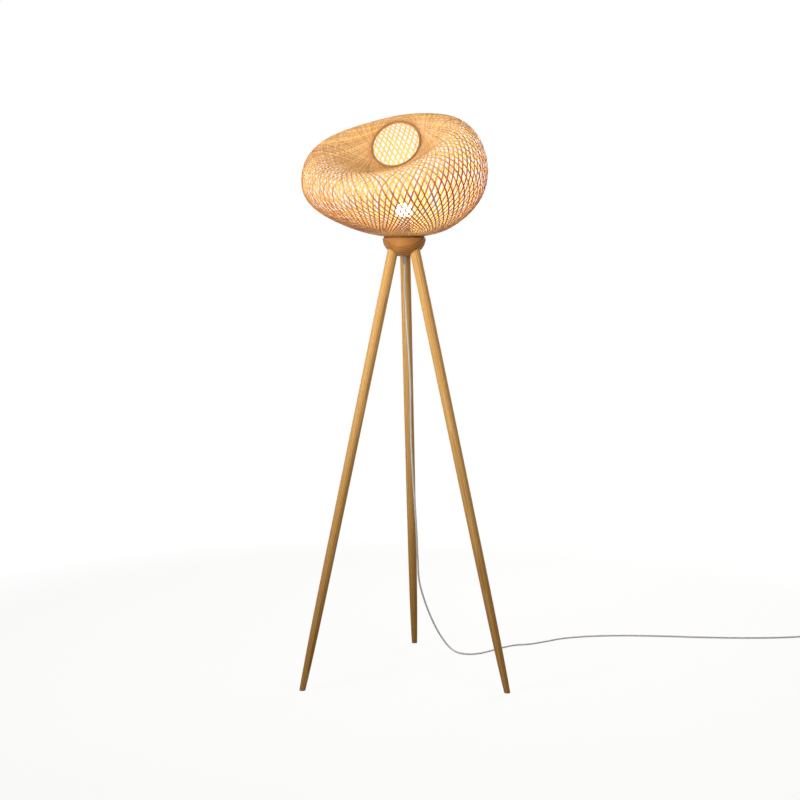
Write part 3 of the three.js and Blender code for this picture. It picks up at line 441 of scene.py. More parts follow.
world = bpy.data.worlds.new("white_room")
bpy.context.scene.world = world
recipe = Recipe(world)
lighting = recipe.node("ShaderNodeBackground", inputs={"Color": white, "Strength": 0.22})
backdrop = recipe.node("ShaderNodeBackground", inputs={"Color": white, "Strength": 1.0})
mixed = recipe.node("ShaderNodeMixShader", inputs={0: seen_directly(recipe), 1: lighting, 2: backdrop})
recipe.node("ShaderNodeOutputWorld", inputs={"Surface": mixed})
print("floor and world written")

# %% [markdown]
# ## Bamboo strip
# The strips are split from the stem: a smooth, slightly waxy skin outside and a paler, matt pith inside. Fine
# fibres run along them, their split edges are browner, and the stem's nodes cross them as a darker line, nearly
# three times a metre. The UV map runs along each strip in metres, so the pattern follows the weave. Three
# values ride on the mesh: a tone, which differs from strip to strip and is lowered near the neck, where it
# paints light onto the strips' undersides; skin, which is 1 on the outer face; and a painted shade, which
# browns the belly round the bulb, most on the right, and the throat's edge a bit.

# %% Write the strip material
nodes_a_metre, strip_spacing = 2.7, 0.02
# The first colour is the red-brown of the painted shade on the belly and the throat's edge.
toasted, node_brown, edge_brown = tint(180, 73, 4), tint(120, 72, 34), tint(104, 56, 18)


def strip_material(name, light, dark, pith):
    recipe = Recipe(bpy.data.materials.new(name))
    uv = recipe.uv()
    tone, skin, toast = (recipe.attribute(label) for label in ("tone", "skin", "toast"))
    fibres = recipe.drawn_out(uv, (45, 3200, 1), 3.0, 0.6)
    mottle = recipe.drawn_out(uv, (14, 160, 1))
    from_node = recipe.off_middle(recipe.part(uv, "X") * nodes_a_metre + tone * 9.0)
    joint_line = recipe.between(from_node, 0.008, 0.002)
    edge = recipe.between(recipe.off_middle(recipe.part(uv, "Y") * (1 / strip_spacing) + 0.5), 0.055, 0.092)
    # A lower tone is lighter. Near the neck the tone is lowered, a painted light on the undersides.
    colour = recipe.mixed(tone * 0.7 + mottle * 0.5 + fibres * 0.4 - 0.38, light, dark)
    # Painted shade: the belly and the throat's edge are browned, most on the right.
    colour = recipe.mixed(toast * (tone * 0.4 + 0.5), colour, toasted)
    colour = recipe.mixed(joint_line * 0.6, colour, node_brown)
    colour = recipe.mixed(skin, recipe.mixed(fibres * 0.6, pith, light), colour)
    colour = recipe.mixed(edge * 0.4, colour, edge_brown)
    relief = fibres * 0.6 + joint_line * 0.8 - edge * 0.6
    return recipe.surface(
        Base_Color=colour, Roughness=(0.62 - skin * 0.2) + fibres * 0.12,
        Normal=recipe.bumped(relief, 0.35, 0.0004), Specular_IOR_Level=0.28,
    )


strip_skin = strip_material("bamboo_strip", tint(240, 198, 126), tint(158, 86, 26), tint(236, 186, 86))
binding_skin = strip_material("bamboo_binding", tint(176, 134, 78), tint(126, 90, 46), tint(176, 128, 72))
# The neck hoop's dark colour is a painted shadow line over the hub.
neck_shadow_skin = strip_material("neck_hoop_painted_shadow", tint(118, 74, 38), tint(78, 46, 22), tint(118, 74, 38))
print("strip materials:", strip_skin.name, binding_skin.name, neck_shadow_skin.name)

# %% [markdown]
# ## Turned wood
# Hub and legs are turned from pale hardwood and lacquered. Growth rings are cylinders round the stem's heart,
# so the distance from a line beside the piece's axis gives them. They show as long flames on a leg and as arcs
# on the hub, where a plain patch lies inside the first ring. The grain follows each leg, so every wooden mesh
# carries its place in the uncut timber as a vector named grain. Towards the floor the wood is painted a little
# darker, a painted shade, and the hub's tints are darker than the legs', a painted shade under the shade.

# %% Write the wood materials
late_end, painted_shade_below, pore_brown = 0.95, 0.9, tint(104, 66, 34)


def wood_material(name, light, dark, heart, ring_width, plain_within=0.0, drifting=0.5, ring_depth=0.5):
    recipe = Recipe(bpy.data.materials.new(name))
    grain = recipe.attribute("grain", "Vector")
    outward = recipe.vector_maths("MULTIPLY", recipe.vector_maths("SUBTRACT", grain, heart), (1, 1, 0))
    radius = recipe.vector_maths("LENGTH", outward, output="Value")
    waver = recipe.drawn_out(grain, (9, 9, 1.6))
    ring = recipe.maths("FRACT", radius * (1 / ring_width) + waver * 5.0)
    late = recipe.between(ring, 0.35, late_end) * (1 - recipe.between(ring, late_end, 1.0))
    late = late * recipe.between(radius, plain_within, plain_within + 0.006)
    fibres = recipe.drawn_out(grain, (700, 700, 14), 3.0, 0.65)
    pores = recipe.between(recipe.drawn_out(grain, (1500, 1500, 60), 1.0), 0.62, 0.7)
    drift = recipe.drawn_out(grain, (22, 22, 3))
    # Painted shade: the wood is darker towards the floor.
    painted_low_shade = recipe.between(recipe.part(recipe.place(), "Z"), painted_shade_below, 0.0) * 0.3
    shade = late * ring_depth + fibres * 0.34 + drift * drifting + painted_low_shade - 0.05 - drifting / 2
    colour = recipe.mixed(pores * 0.35, recipe.mixed(shade, light, dark), pore_brown)
    return recipe.surface(
        Base_Color=colour, Roughness=0.42 + fibres * 0.16, Coat_Weight=0.04, Coat_Roughness=0.3,
        Specular_IOR_Level=0.1, Normal=recipe.bumped(fibres * 0.5 - pores * 0.6, 0.25, 0.0003),
    )


leg_wood = wood_material("leg_wood", tint(206, 161, 96), tint(144, 92, 18), (0.035, 0.02, 0), 0.0042)
# The hub's tints are darker than the legs', a painted shade from the shade above it.
hub_wood = wood_material(
    "hub_wood", tint(182, 124, 64), tint(104, 64, 28), (0.006, -0.04, 0), 0.0052,
    plain_within=0.061, drifting=1.2, ring_depth=0.8,
)
print("wood materials:", leg_wood.name, hub_wood.name)

# %% [markdown]
# ## Metal, moulded plastic, cord and glass
# The small parts are plated steel, brass, satin white plastic and a pale grey cord. Each gets the marks of how
# it was made: turning lines on metal, a faint grain from the mould on plastic, drawn lines along the cord.

# %% Write the materials of the small parts
def metal_material(name, colour, roughness):
    recipe = Recipe(bpy.data.materials.new(name))
    place = recipe.place()
    lines = recipe.drawn_out(place, (60, 60, 2600))
    cloud = recipe.noise(place, 90.0, 3.0)
    worn = recipe.mixed(cloud * 0.35, colour, tuple(c * 0.72 for c in colour[:3]) + (1,))
    return recipe.surface(
        Base_Color=worn, Metallic=1.0, Roughness=lines * 0.14 + cloud * 0.1 + roughness - 0.1,
        Normal=recipe.bumped(lines, 0.12, 0.0001),
    )


def moulded_material(name, colour, shade, roughness):
    recipe = Recipe(bpy.data.materials.new(name))
    place = recipe.place()
    grain = recipe.noise(place, 2400.0, 1.0)
    cloud = recipe.noise(place, 45.0, 3.0)
    return recipe.surface(
        Base_Color=recipe.mixed(cloud * 0.7, colour, shade), Roughness=cloud * 0.12 + roughness,
        Normal=recipe.bumped(grain, 0.12, 0.0001), Specular_IOR_Level=0.45,
    )


def cord_material(name, colour, shade):
    recipe = Recipe(bpy.data.materials.new(name))
    uv = recipe.uv()
    drawn = recipe.drawn_out(uv, (30, 2600, 1))
    cloud = recipe.drawn_out(uv, (18, 60, 1))
    return recipe.surface(
        Base_Color=recipe.mixed(cloud * 0.6 + drawn * 0.3, colour, shade), Roughness=0.32 + cloud * 0.16,
        Normal=recipe.bumped(drawn, 0.18, 0.0002), Specular_IOR_Level=0.5,
    )


def lit_material(name):
    recipe = Recipe(bpy.data.materials.new(name))
    haze = recipe.noise(recipe.place(), 60.0)
    glow = recipe.mixed(haze, (1, 0.86, 0.62, 1), (1, 0.93, 0.76, 1))
    return recipe.surface(
        Base_Color=recipe.mixed(haze, tint(255, 246, 226), tint(248, 236, 210)), Roughness=0.28 + haze * 0.1,
        Emission_Color=glow, Emission_Strength=5.0,
    )


finishes = {
    "rattan": binding_skin,
    "oak": hub_wood,
    "steel": metal_material("plated_steel", tint(196, 198, 200), 0.3),
    "brass": metal_material("turned_brass", tint(206, 166, 92), 0.28),
    "white_plastic": moulded_material("white_moulding", tint(232, 229, 221), tint(218, 214, 204), 0.36),
    "cord_plastic": cord_material("cord_sheath", tint(224, 219, 211), tint(198, 193, 186)),
    "diffuser": lit_material("lit_globe"),
}
print("finishes:", ", ".join(finishes))

# %% [markdown]
# ## Dressing a piece
# Each finished piece rides on a CAD body, hides the CAD nodes that it stands for and gets its material.

# %% The dress helper
def coat(piece, material):
    piece.data.materials.clear()
    piece.data.materials.append(material)


def dress(piece, body, slot, material, *nodes):
    coat(piece, material)
    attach(piece, body)
    if nodes:
        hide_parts(*nodes)


dress(cord_to_switch, "lamp", "cord_plastic", finishes["cord_plastic"], "cord_run")
dress(cord_to_plug, "lamp", "cord_plastic", finishes["cord_plastic"], "cord_lead", "cord_coil", "cord_tail")
print("cords dressed")

# %% [markdown]
# ## The form of the shade
# The shade is one sheet. Eight control rings run from the neck over the belly and the crest down into the
# throat. Each has a reach and a height at its front and its back, a half width, a move to the side, a lift of
# its sides and a lean, all as shares of the shade's size. A cubic B-spline over the rings gives a point for
# every u, from neck to throat, and turn, round the shade. The CAD lattice lies on the same sheet.

# %% Points on the sheet
shade_reach, shade_rise, neck_radius, neck_height = 262, 337, 57.5, 1261.1
throat_radius, throat_tilt, facing = 71.3, math.radians(64.3), math.radians(253)
throat_reach, throat_rise, throat_side, throat_lean = 0.2, 0.745, -0.02, 0.016
ring_shares = [
    [0.39, 0.027, -0.34, 0.023, 0.37, -0.002, -0.011, -0.001],
    [0.72, 0.073, -0.54, 0.054, 0.61, -0.016, 0.016, -0.001],
    [1.22, 0.268, -0.8, 0.378, 0.99, -0.049, -0.031, 0.003],
    [1.21, 0.398, -0.63, 0.912, 1, -0.001, -0.003, -0.042],
    [0.76, 0.521, -0.02, 1.021, 0.76, -0.04, 0.093, 0.084],
    [0.36, 0.524, 0.09, 0.982, 0.37, -0.03, -0.011, 0.033],
]
shade_rings = [[0, 0, neck_radius, 0, neck_radius, 0, 0, 0]]
for front, low, back, high, half, side, lift, lean in ring_shares:
    middle = [(front + back) / 2 * shade_reach, (low + high) / 2 * shade_rise]
    arm = [(front - back) / 2 * shade_reach, (low - high) / 2 * shade_rise]
    sideways = [half * shade_reach, side * shade_reach, lift * shade_rise, lean * shade_rise]
    shade_rings.append(middle + arm + sideways)
middle = [throat_reach * shade_reach, throat_rise * shade_rise]
arm = [throat_radius * math.cos(throat_tilt), -throat_radius * math.sin(throat_tilt)]
shade_rings.append(middle + arm + [throat_radius, throat_side * shade_reach, 0, throat_lean * shade_rise])
shade_rings = np.array(shade_rings) * mm
knots = np.array([0, 0, 0, 0, 0.2, 0.4, 0.6, 0.8, 1, 1, 1, 1])
to_front = np.array([math.cos(facing), math.sin(facing), 0])
to_side = np.array([-math.sin(facing), math.cos(facing), 0])


def ring_weights(u):
    """The share of each control ring at every u: cubic B-splines by the Cox-de Boor rule."""
    u = np.clip(u, 0, 1 - 1e-9)[..., None]
    weights = ((knots[:-1] <= u) & (u < knots[1:])).astype(float)
    for degree in (1, 2, 3):
        grown = np.zeros(weights.shape[:-1] + (len(knots) - 1 - degree,))
        for i in range(grown.shape[-1]):
            rising, falling = knots[i + degree] - knots[i], knots[i + degree + 1] - knots[i + 1]
            if rising:
                grown[..., i] += (u[..., 0] - knots[i]) / rising * weights[..., i]
            if falling:
                grown[..., i] += (knots[i + degree + 1] - u[..., 0]) / falling * weights[..., i + 1]
        weights = grown
    return weights


def sheet_points(u, turn):
    """Points of the sheet, for arrays of u and turn of one shape."""
    spec = ring_weights(u) @ shade_rings
    reach, rise, arm_reach, arm_rise, half, side, lift, lean = np.moveaxis(spec, -1, 0)
    front, beside = np.cos(turn), np.sin(turn)
    height = neck_height * mm + rise + arm_rise * front + lean * beside + lift * beside**2
    flat = (reach + arm_reach * front)[..., None] * to_front + (side + half * beside)[..., None] * to_side
    return flat + height[..., None] * np.array([0, 0, 1.0]) + np.array(hub_axis)


def sheet_normals(u, turn):
    """Directions straight out of the sheet, from short steps along it and round it."""
    step = 1e-4
    along = sheet_points(np.minimum(u + step, 1), turn) - sheet_points(np.maximum(u - step, 0), turn)
    around = sheet_points(u, turn + step) - sheet_points(u, turn - step)
    return unit(np.cross(around, along))


columns = 96
levels = np.linspace(0, 1, 301)
angles_round = np.linspace(0, 2 * math.pi, columns + 1)
level_grid, angle_grid = np.meshgrid(levels, angles_round, indexing="ij")
whole_sheet = sheet_points(level_grid, angle_grid)
climbs = np.linalg.norm(np.diff(whole_sheet, axis=0), axis=2)
print("sheet from neck to throat at its front, m:", climbs[:, 0].sum().round(3))

# %% [markdown]
# ## How the strips run
# Two families of 96 strips climb from the neck to the throat, one turning to the right and one to the left.
# The pace is how far a strip turns for each metre that it climbs. It is quick at the neck, slow on the front
# belly, which draws the tall diamonds there, and quick at the throat, where the strips nearly circle the
# opening. Both families have made the same turn at the same place, so they cross at every half gap of it.
# The weave also leans a little to one side, as a weaver's own pull leaves it.

# %% The turn of a strip at each place on the sheet
strip_count, whole_turn, samples_a_gap = 96, 2.1, 4
last_sweep, sweep_power = 0.82, 2.2
strip_gap = 2 * math.pi / strip_count
pace_at = [0, 0.05, 0.1, 0.2, 0.3, 0.4, 0.5, 0.6, 0.7, 0.8, 0.9, 1]
front_pace = np.interp(levels, pace_at, [9, 6, 4.2, 2.6, 1.5, 1.2, 1.3, 1.6, 2.0, 2.8, 4.0, 4.5])[:, None]
back_pace = np.interp(levels, pace_at, [9, 5, 3.2, 2.2, 1.9, 2.0, 2.1, 2.2, 2.2, 2.4, 3.5, 4.5])[:, None]
frontness = (1 + np.cos(angles_round)) / 2
pace = front_pace * frontness + back_pace * (1 - frontness)
turned_by = np.vstack([np.zeros(columns + 1), ((pace[1:] + pace[:-1]) / 2 * climbs).cumsum(axis=0)])
sweep = np.clip((levels - last_sweep) / (1 - last_sweep), 0, 1)[:, None] ** sweep_power
turned_by += (whole_turn - turned_by[-1]) * sweep
turn_steps = np.append(np.arange(0, whole_turn - 1e-6, strip_gap / samples_a_gap), whole_turn)
level_of = np.array([np.interp(turn_steps, column, levels) for column in turned_by.T]).T
print("samples on each strip:", len(turn_steps))

# %% [markdown]
# ## Weaving
# A strip goes over one strip and under the next. The families cross at every half gap of the turn, so a cosine
# of the turn lifts one while it lowers the other, and four samples a gap are enough. Thousands of crossings
# would be slow to place by hand, so the strips are written as meshes: a flat section with rounded edges is
# carried along each path, level with the sheet. Where strips come close together they are narrower, so that
# light still passes between them.

# %% Make the two families of strips
strip_width, strip_thickness, strip_lift, sheet_inset = 4.1 * mm, 0.8 * mm, 0.55 * mm, -0.45 * mm
strip_crowding, strip_lean, strip_sway = 0.06, 0.23, 0.0022
strip_section = [(0.5, 0.05), (0.38, 0.5), (-0.38, 0.5), (-0.5, 0.05), (-0.4, -0.5), (0.4, -0.5)]


def alone(piece):
    """Select one piece and nothing else."""
    select_nothing()
    piece.select_set(True)
    bpy.context.view_layer.objects.active = piece


def face_outwards(piece):
    """Turn all faces of a closed mesh outwards."""
    alone(piece)
    bpy.ops.object.mode_set(mode="EDIT")
    bpy.ops.mesh.select_all(action="SELECT")
    bpy.ops.mesh.normals_make_consistent(inside=False)
    bpy.ops.object.mode_set(mode="OBJECT")


def carry_values(piece, **values):
    """Write numbers on a mesh's points, which the strips' material reads."""
    for label, numbers in values.items():
        written = piece.data.attributes.new(label, "FLOAT", "POINT").data
        written.foreach_set("value", np.asarray(numbers, np.float32))


def toasted_places(u, rightward):
    """How much painted shade darkens the strips at each u and each place to the right of the middle, in metres.
    """
    raised = u - np.where(u < 0.9, np.interp(rightward, [0, 0.13, 0.22], [0, 0.2, 0.13]), 0)
    toasts = np.interp(raised, [0, 0.05, 0.12, 0.4, 0.56, 0.97, 0.985, 1], [0.4, 0.4, 1, 1, 0, 0, 0.5, 0.5])
    return toasts * np.interp(rightward, [-0.22, -0.02, 0.16], [0.4, 1, 1.4])


def family(name, sense, seed):
    """One family of strips: sense is 1 for those that rise to the right and -1 for the others."""
    random = np.random.default_rng(seed)
    rows = len(turn_steps)
    phase = random.random((3, strip_count)) * 2 * math.pi
    sway = sum(np.sin(turn_steps[:, None] * (5 + 4 * i) + phase[i]) for i in range(3))
    place = sense * turn_steps[:, None] + strip_gap * np.arange(strip_count)
    even = place + strip_crowding * np.sin(place) + strip_sway * sway
    u = 0.5
    for _ in range(4):
        place = even - strip_lean * u * np.cos(even)
        column = place / (2 * math.pi) % 1 * columns
        before = column.astype(int)
        share, row = column - before, np.arange(rows)[:, None]
        u = level_of[row, before] * (1 - share) + level_of[row, before + 1] * share
    middle, outward = sheet_points(u, place), sheet_normals(u, place)
    across = np.cross(outward, unit(np.gradient(middle, axis=0)))
    beside = sheet_points(u, place + strip_gap) - middle
    room = np.abs((beside * across).sum(axis=2))
    wave = sense * np.cos(2 * math.pi * turn_steps / strip_gap)[:, None, None] * strip_lift
    middle = middle + outward * (wave + sheet_inset)
    widest = np.interp(u, [0, 0.04, 0.2], [0.5, 0.5, 0.67]) * room
    width = np.minimum(strip_width * (0.9 + 0.2 * random.random(strip_count)), widest)[..., None]
    rings = [middle + across * width * x + outward * strip_thickness * z for x, z in strip_section]
    points = np.stack(rings, axis=2).transpose(1, 0, 2, 3)
    sides = len(strip_section)
    flat = np.array([x for x, _ in strip_section + strip_section[:1]]) * strip_width
    flat = flat + strip_spacing * np.arange(strip_count)[:, None]
    piece = tubes(name, points, way_along(points[:, :, 0]), flat)
    # Near the neck the tone is lowered, which paints light onto the strips' undersides there.
    painted_neck_light = np.interp(u, [0, 0.05, 0.12], [0.1, 0.1, 1]).T.ravel()
    tones = np.repeat(random.random(strip_count), rows * sides) * np.repeat(painted_neck_light, sides)
    skins = np.tile([1.0 if z > 0 else 0.0 for _, z in strip_section], strip_count * rows)
    # The painted shade at each point of the strips.
    toasts = np.repeat(toasted_places(u, middle[..., 0]).T.ravel(), sides)
    carry_values(piece, tone=tones, skin=skins, toast=toasts)
    return piece


strips_right = family("strips_rising_right", 1, 11)
strips_left = family("strips_rising_left", -1, 12)
for strips in (strips_right, strips_left):
    face_outwards(strips)
    bpy.ops.object.shade_smooth_by_angle(angle=math.radians(40))
    dress(strips, "lamp", "rattan", strip_skin)
shade_nodes = [name for name in frame["nodes"] if name.startswith("shade") and name != "shade_carrier"]
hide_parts(*shade_nodes)
print("strip faces:", len(strips_right.data.polygons), len(strips_left.data.polygons))

# %% [markdown]
# ## Turning a piece
# Round pieces are turned: half of the outline is drawn point by point and spun round the axis. In Blender that
# is one vertex, extruded along the outline, and the Spin operator. Merging the doubled points closes the form.

# %% The turning helper
def turned(name, outline, steps, centre=(0, 0), smooth=35):
    """Spin an outline of (radius, height) pairs, in metres, about an upright axis at centre."""
    (radius, height), rest = outline[0], outline[1:]
    select_nothing()
    bpy.ops.mesh.primitive_plane_add(size=mm, location=(centre[0] + radius, centre[1], height))
    piece = bpy.context.object
    piece.name = piece.data.name = name
    bpy.ops.object.mode_set(mode="EDIT")
    bpy.ops.mesh.select_all(action="SELECT")
    bpy.ops.mesh.merge(type="CENTER")
    for next_radius, next_height in rest:
        step = (next_radius - radius, 0, next_height - height)
        bpy.ops.mesh.extrude_vertices_move(TRANSFORM_OT_translate={"value": step})
        radius, height = next_radius, next_height
    bpy.ops.mesh.select_all(action="SELECT")
    bpy.ops.mesh.spin(steps=steps, angle=2 * math.pi, center=(centre[0], centre[1], 0), axis=(0, 0, 1))
    bpy.ops.mesh.select_all(action="SELECT")
    bpy.ops.mesh.remove_doubles(threshold=1e-6)
    bpy.ops.mesh.normals_make_consistent(inside=False)
    bpy.ops.object.mode_set(mode="OBJECT")
    bpy.ops.object.transform_apply()
    bpy.ops.object.shade_smooth_by_angle(angle=math.radians(smooth))
    return piece


def arc(centre_radius, centre_height, radius_across, radius_up, start, end, steps):
    """Outline points on part of an ellipse, from a start to an end angle in degrees."""
    return [
        (centre_radius + radius_across * math.cos(angle), centre_height + radius_up * math.sin(angle))
        for angle in np.radians(np.linspace(start, end, steps + 1))
    ]


def carry_grain(piece, to_timber):
    """Write each point's place in the timber, which the wood material reads."""
    places = np.array([to_timber @ point.co for point in piece.data.vertices], np.float32)
    piece.data.attributes.new("grain", "FLOAT_VECTOR", "POINT").data.foreach_set("vector", places.ravel())


print("turning helper ready")

# %% [markdown]
# ## The legs
# A leg is a long taper, thickest in the hub. It is turned upright, its grain is written while it stands
# straight, and then it is leaned into place. Bisect cuts the foot on the floor's plane and closes the cut, and
# a small bevel breaks its edge. Any point that the bevel pushes under the floor is set level with it.

# %% Turn one leg and copy it
leg_top, seat_circle, foot_circle, edge_break = 15 * mm, 33.6 * mm, 330 * mm, 0.8 * mm
hub_top = 1256 * mm
seat_height = hub_top - 27 * mm
leg_length = math.hypot(foot_circle - seat_circle, seat_height)
leg_angles = {"rear": 86.3, "left": 206.3, "right": 326.3}
taper = [(0.56, 0), (0.64, 0.03), (0.77, 0.11), (0.87, 0.26), (0.94, 0.6), (1, 1)]
taper_line = smooth_route([(wide * leg_top, (along - 1) * leg_length, 0) for wide, along in taper], 8)[:, :2]


def leg_place(degrees):
    """The matrix that leans an upright leg, its top end at the origin, into its seat in the hub."""
    angle = math.radians(degrees)
    outward = Vector((math.cos(angle), math.sin(angle), 0))
    seat = hub_axis + outward * seat_circle + upward * seat_height
    foot = hub_axis + outward * foot_circle
    lean = upward.rotation_difference((seat - foot).normalized())
    return Matrix.Translation(seat) @ lean.to_matrix().to_4x4()


outline = [(0, -leg_length - leg_top), (taper_line[0][0], -leg_length - leg_top)]
outline += [tuple(point) for point in taper_line[:-1]]
outline += [(leg_top, -edge_break), (leg_top - edge_break, 0), (0, 0)]
model_leg = turned("leg_model", outline, 56)
for index, (side_name, degrees) in enumerate(leg_angles.items()):
    leg = model_leg.copy()
    leg.data = model_leg.data.copy()
    leg.name = leg.data.name = f"turned_leg_{side_name}"
    bpy.context.scene.collection.objects.link(leg)
    spin = Matrix.Rotation(math.radians(75 * index + 20), 4, "Z")
    carry_grain(leg, Matrix.Translation((0.013 * index, 0, 0.37 * index)) @ spin)
    leg.matrix_world = leg_place(degrees)
    alone(leg)
    bpy.ops.object.transform_apply()
    bpy.ops.object.mode_set(mode="EDIT")
    bpy.ops.mesh.select_all(action="SELECT")
    bpy.ops.mesh.bisect(plane_co=(0, 0, 0), plane_no=(0, 0, 1), use_fill=True, clear_inner=True)
    bpy.ops.mesh.bevel(offset=edge_break, segments=2, affect="EDGES")
    bpy.ops.object.mode_set(mode="OBJECT")
    for point in leg.data.vertices:
        point.co.z = max(point.co.z, 0)
    dress(leg, "lamp", "oak", leg_wood, f"leg_{side_name}")
    print(leg.name, "faces:", len(leg.data.polygons))
bpy.data.objects.remove(model_leg)

# %% [markdown]
# ## The hub
# The hub is a deep bowl-shaped block with a flat top. It is turned with a recess in its top for the lamp holder
# and one below for the nut, and Boolean modifiers drill three sockets at the legs' slant.

# %% Turn the hub and drill its sockets
hub_radius, hub_depth, flat_radius, rounding = 61 * mm, 53 * mm, 16 * mm, 2 * mm
holder_recess, nut_recess, tube_bore = 20.3 * mm, 11.5 * mm, 5.3 * mm
socket_play, drill_length = 0.3 * mm, 54 * mm
lowest_angle = math.degrees(math.acos(flat_radius / hub_radius))
flat_height = hub_top - hub_depth * math.sin(math.radians(lowest_angle))
holder_floor, nut_ceiling = hub_top - 18 * mm, flat_height + 10 * mm
bowl = arc(0, hub_top, hub_radius, hub_depth, -lowest_angle, -3.2, 30)
edge = arc(hub_radius - 2.1 * mm, hub_top - rounding, rounding, rounding, -10, 90, 6)
outline = [(nut_recess, flat_height)] + bowl + edge
outline += [(holder_recess, hub_top), (holder_recess, holder_floor), (tube_bore, holder_floor)]
outline += [(tube_bore, nut_ceiling), (nut_recess, nut_ceiling), (nut_recess, flat_height)]
hub = turned("turned_hub", outline, 96, hub_axis[:2])
for degrees in leg_angles.values():
    select_nothing()
    bpy.ops.mesh.primitive_cylinder_add(vertices=64, radius=leg_top + socket_play, depth=drill_length)
    drill = bpy.context.object
    drill.matrix_world = leg_place(degrees) @ Matrix.Translation((0, 0, socket_play - drill_length / 2))
    alone(hub)
    socket = hub.modifiers.new("socket", "BOOLEAN")
    socket.object, socket.operation, socket.solver = drill, "DIFFERENCE", "EXACT"
    bpy.ops.object.modifier_apply(modifier=socket.name)
    bpy.data.objects.remove(drill)
alone(hub)
bpy.ops.object.shade_smooth_by_angle(angle=math.radians(35))
timber = Matrix.Rotation(math.radians(90), 4, "X") @ Matrix.Rotation(math.radians(12), 4, "Z")
carry_grain(hub, timber @ Matrix.Translation(-(hub_axis + upward * hub_top)))
dress(hub, "lamp", "oak", hub_wood, "hub")
print("hub faces:", len(hub.data.polygons))

# %% [markdown]
# ## The strain relief
# Under the hub the cord leaves through a small moulded sleeve. Its ribs let it bend a little, so the cord isn't
# kinked at its edge. It is turned like the wooden pieces: the outline steps in and out once for every rib.

# %% Turn the ribbed sleeve
relief_top, relief_foot, sleeve_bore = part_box("strain_relief")[1].z, relief_tip * mm, 3.1 * mm
sleeve_collar = (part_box("strain_relief")[1].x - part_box("strain_relief")[0].x) / 2
tip_radius, first_rib, last_rib = 3.7 * mm, 3.9 * mm, 5 * mm
rib_count, rib_depth, rib_slope = 6, 0.55 * mm, 0.4 * mm
rib_pitch = (flat_height - relief_foot) / rib_count
outline = [(sleeve_bore, relief_foot), (tip_radius, relief_foot)]
for rib in range(rib_count):
    low_edge, high_edge = relief_foot + rib_pitch * (rib + 0.25), relief_foot + rib_pitch * (rib + 0.8)
    proud = first_rib + (last_rib - first_rib) * (rib + 1) / rib_count
    outline += [(proud - rib_depth, low_edge), (proud, low_edge + rib_slope)]
    outline += [(proud, high_edge - rib_slope), (proud - rib_depth, high_edge)]
outline += [(last_rib, flat_height), (sleeve_collar, flat_height), (sleeve_collar, relief_top)]
outline += [(sleeve_bore, relief_top), (sleeve_bore, relief_foot)]
sleeve = turned("ribbed_sleeve", outline, 32, hub_axis[:2])
sleeve_skin = moulded_material("sleeve_moulding", tint(176, 172, 166), tint(158, 154, 148), 0.42)
dress(sleeve, "lamp", "cord_plastic", sleeve_skin, "strain_relief")
print("sleeve faces:", len(sleeve.data.polygons))

# %% [markdown]
# ## Hoops at neck and throat
# Weaving needs something to end on. At the neck the strips end round a flat hoop, coloured dark as a painted
# shadow line over the hub. At the throat a round cane hoop lies inside the sheet's edge.

# %% Make the hoops
neck_low, neck_high, neck_inside, neck_outside = 1258.1 * mm, 1264.1 * mm, 51.4 * mm, 56.9 * mm
cane_inset, cane_radius = 3.1 * mm, 2.2 * mm
outline = [(neck_inside, neck_low), (neck_outside, neck_low), (neck_outside, neck_high)]
outline += [(neck_inside, neck_high), (neck_inside, neck_low)]
neck_hoop = turned("neck_hoop_cane", outline, 96, hub_axis[:2])
dress(neck_hoop, "lamp", "rattan", neck_shadow_skin, "neck_hoop")

throat_centre = sheet_points(np.ones(columns), angles_round[:-1]).mean(axis=0)
toward_front, toward_side = sheet_points(np.ones(2), np.array([0, math.pi / 2])) - throat_centre
throat_axis = Vector(np.cross(toward_front, toward_side)).normalized()
select_nothing()
bpy.ops.mesh.primitive_torus_add(
    location=throat_centre, rotation=throat_axis.to_track_quat("Z", "Y").to_euler(),
    major_segments=120, minor_segments=14,
    major_radius=throat_radius * mm - cane_inset, minor_radius=cane_radius,
)
throat_hoop = bpy.context.object
throat_hoop.name = throat_hoop.data.name = "throat_hoop_cane"
bpy.ops.object.transform_apply()
bpy.ops.object.shade_smooth()
dress(throat_hoop, "lamp", "rattan", binding_skin, "throat_hoop")
print("throat hoop centre:", [round(float(x), 4) for x in throat_centre])

# %% [markdown]
# ## The bound rim
# At the throat a narrow strip is wound round the hoop and the sheet's edge together, turn beside turn. Its
# middle follows two circles at once, the large one round the throat and the small one round the hoop. Both
# angles grow evenly, so a formula gives every point, and the strip's two edges are that line a little apart.

# %% Wind the rim
rim_turns, steps_a_turn, rim_radius, rim_strip = 100, 14, 69.6 * mm, 3.9 * mm
rim_reach, rim_depth, rim_thickness = 3.3 * mm, 3.0 * mm, 0.5 * mm
toward_first = Vector(toward_front).normalized()
toward_second = throat_axis.cross(toward_first)


def rim_points(large, small, proud):
    """Points of the winding, for the angle round the throat, the angle round the hoop and a height above it."""
    outward = np.outer(np.cos(large), toward_first) + np.outer(np.sin(large), toward_second)
    reach = rim_radius + (rim_reach + proud) * np.cos(small)
    depth = (rim_depth + proud) * np.sin(small)
    return throat_centre + outward * reach[:, None] + np.outer(depth, throat_axis)


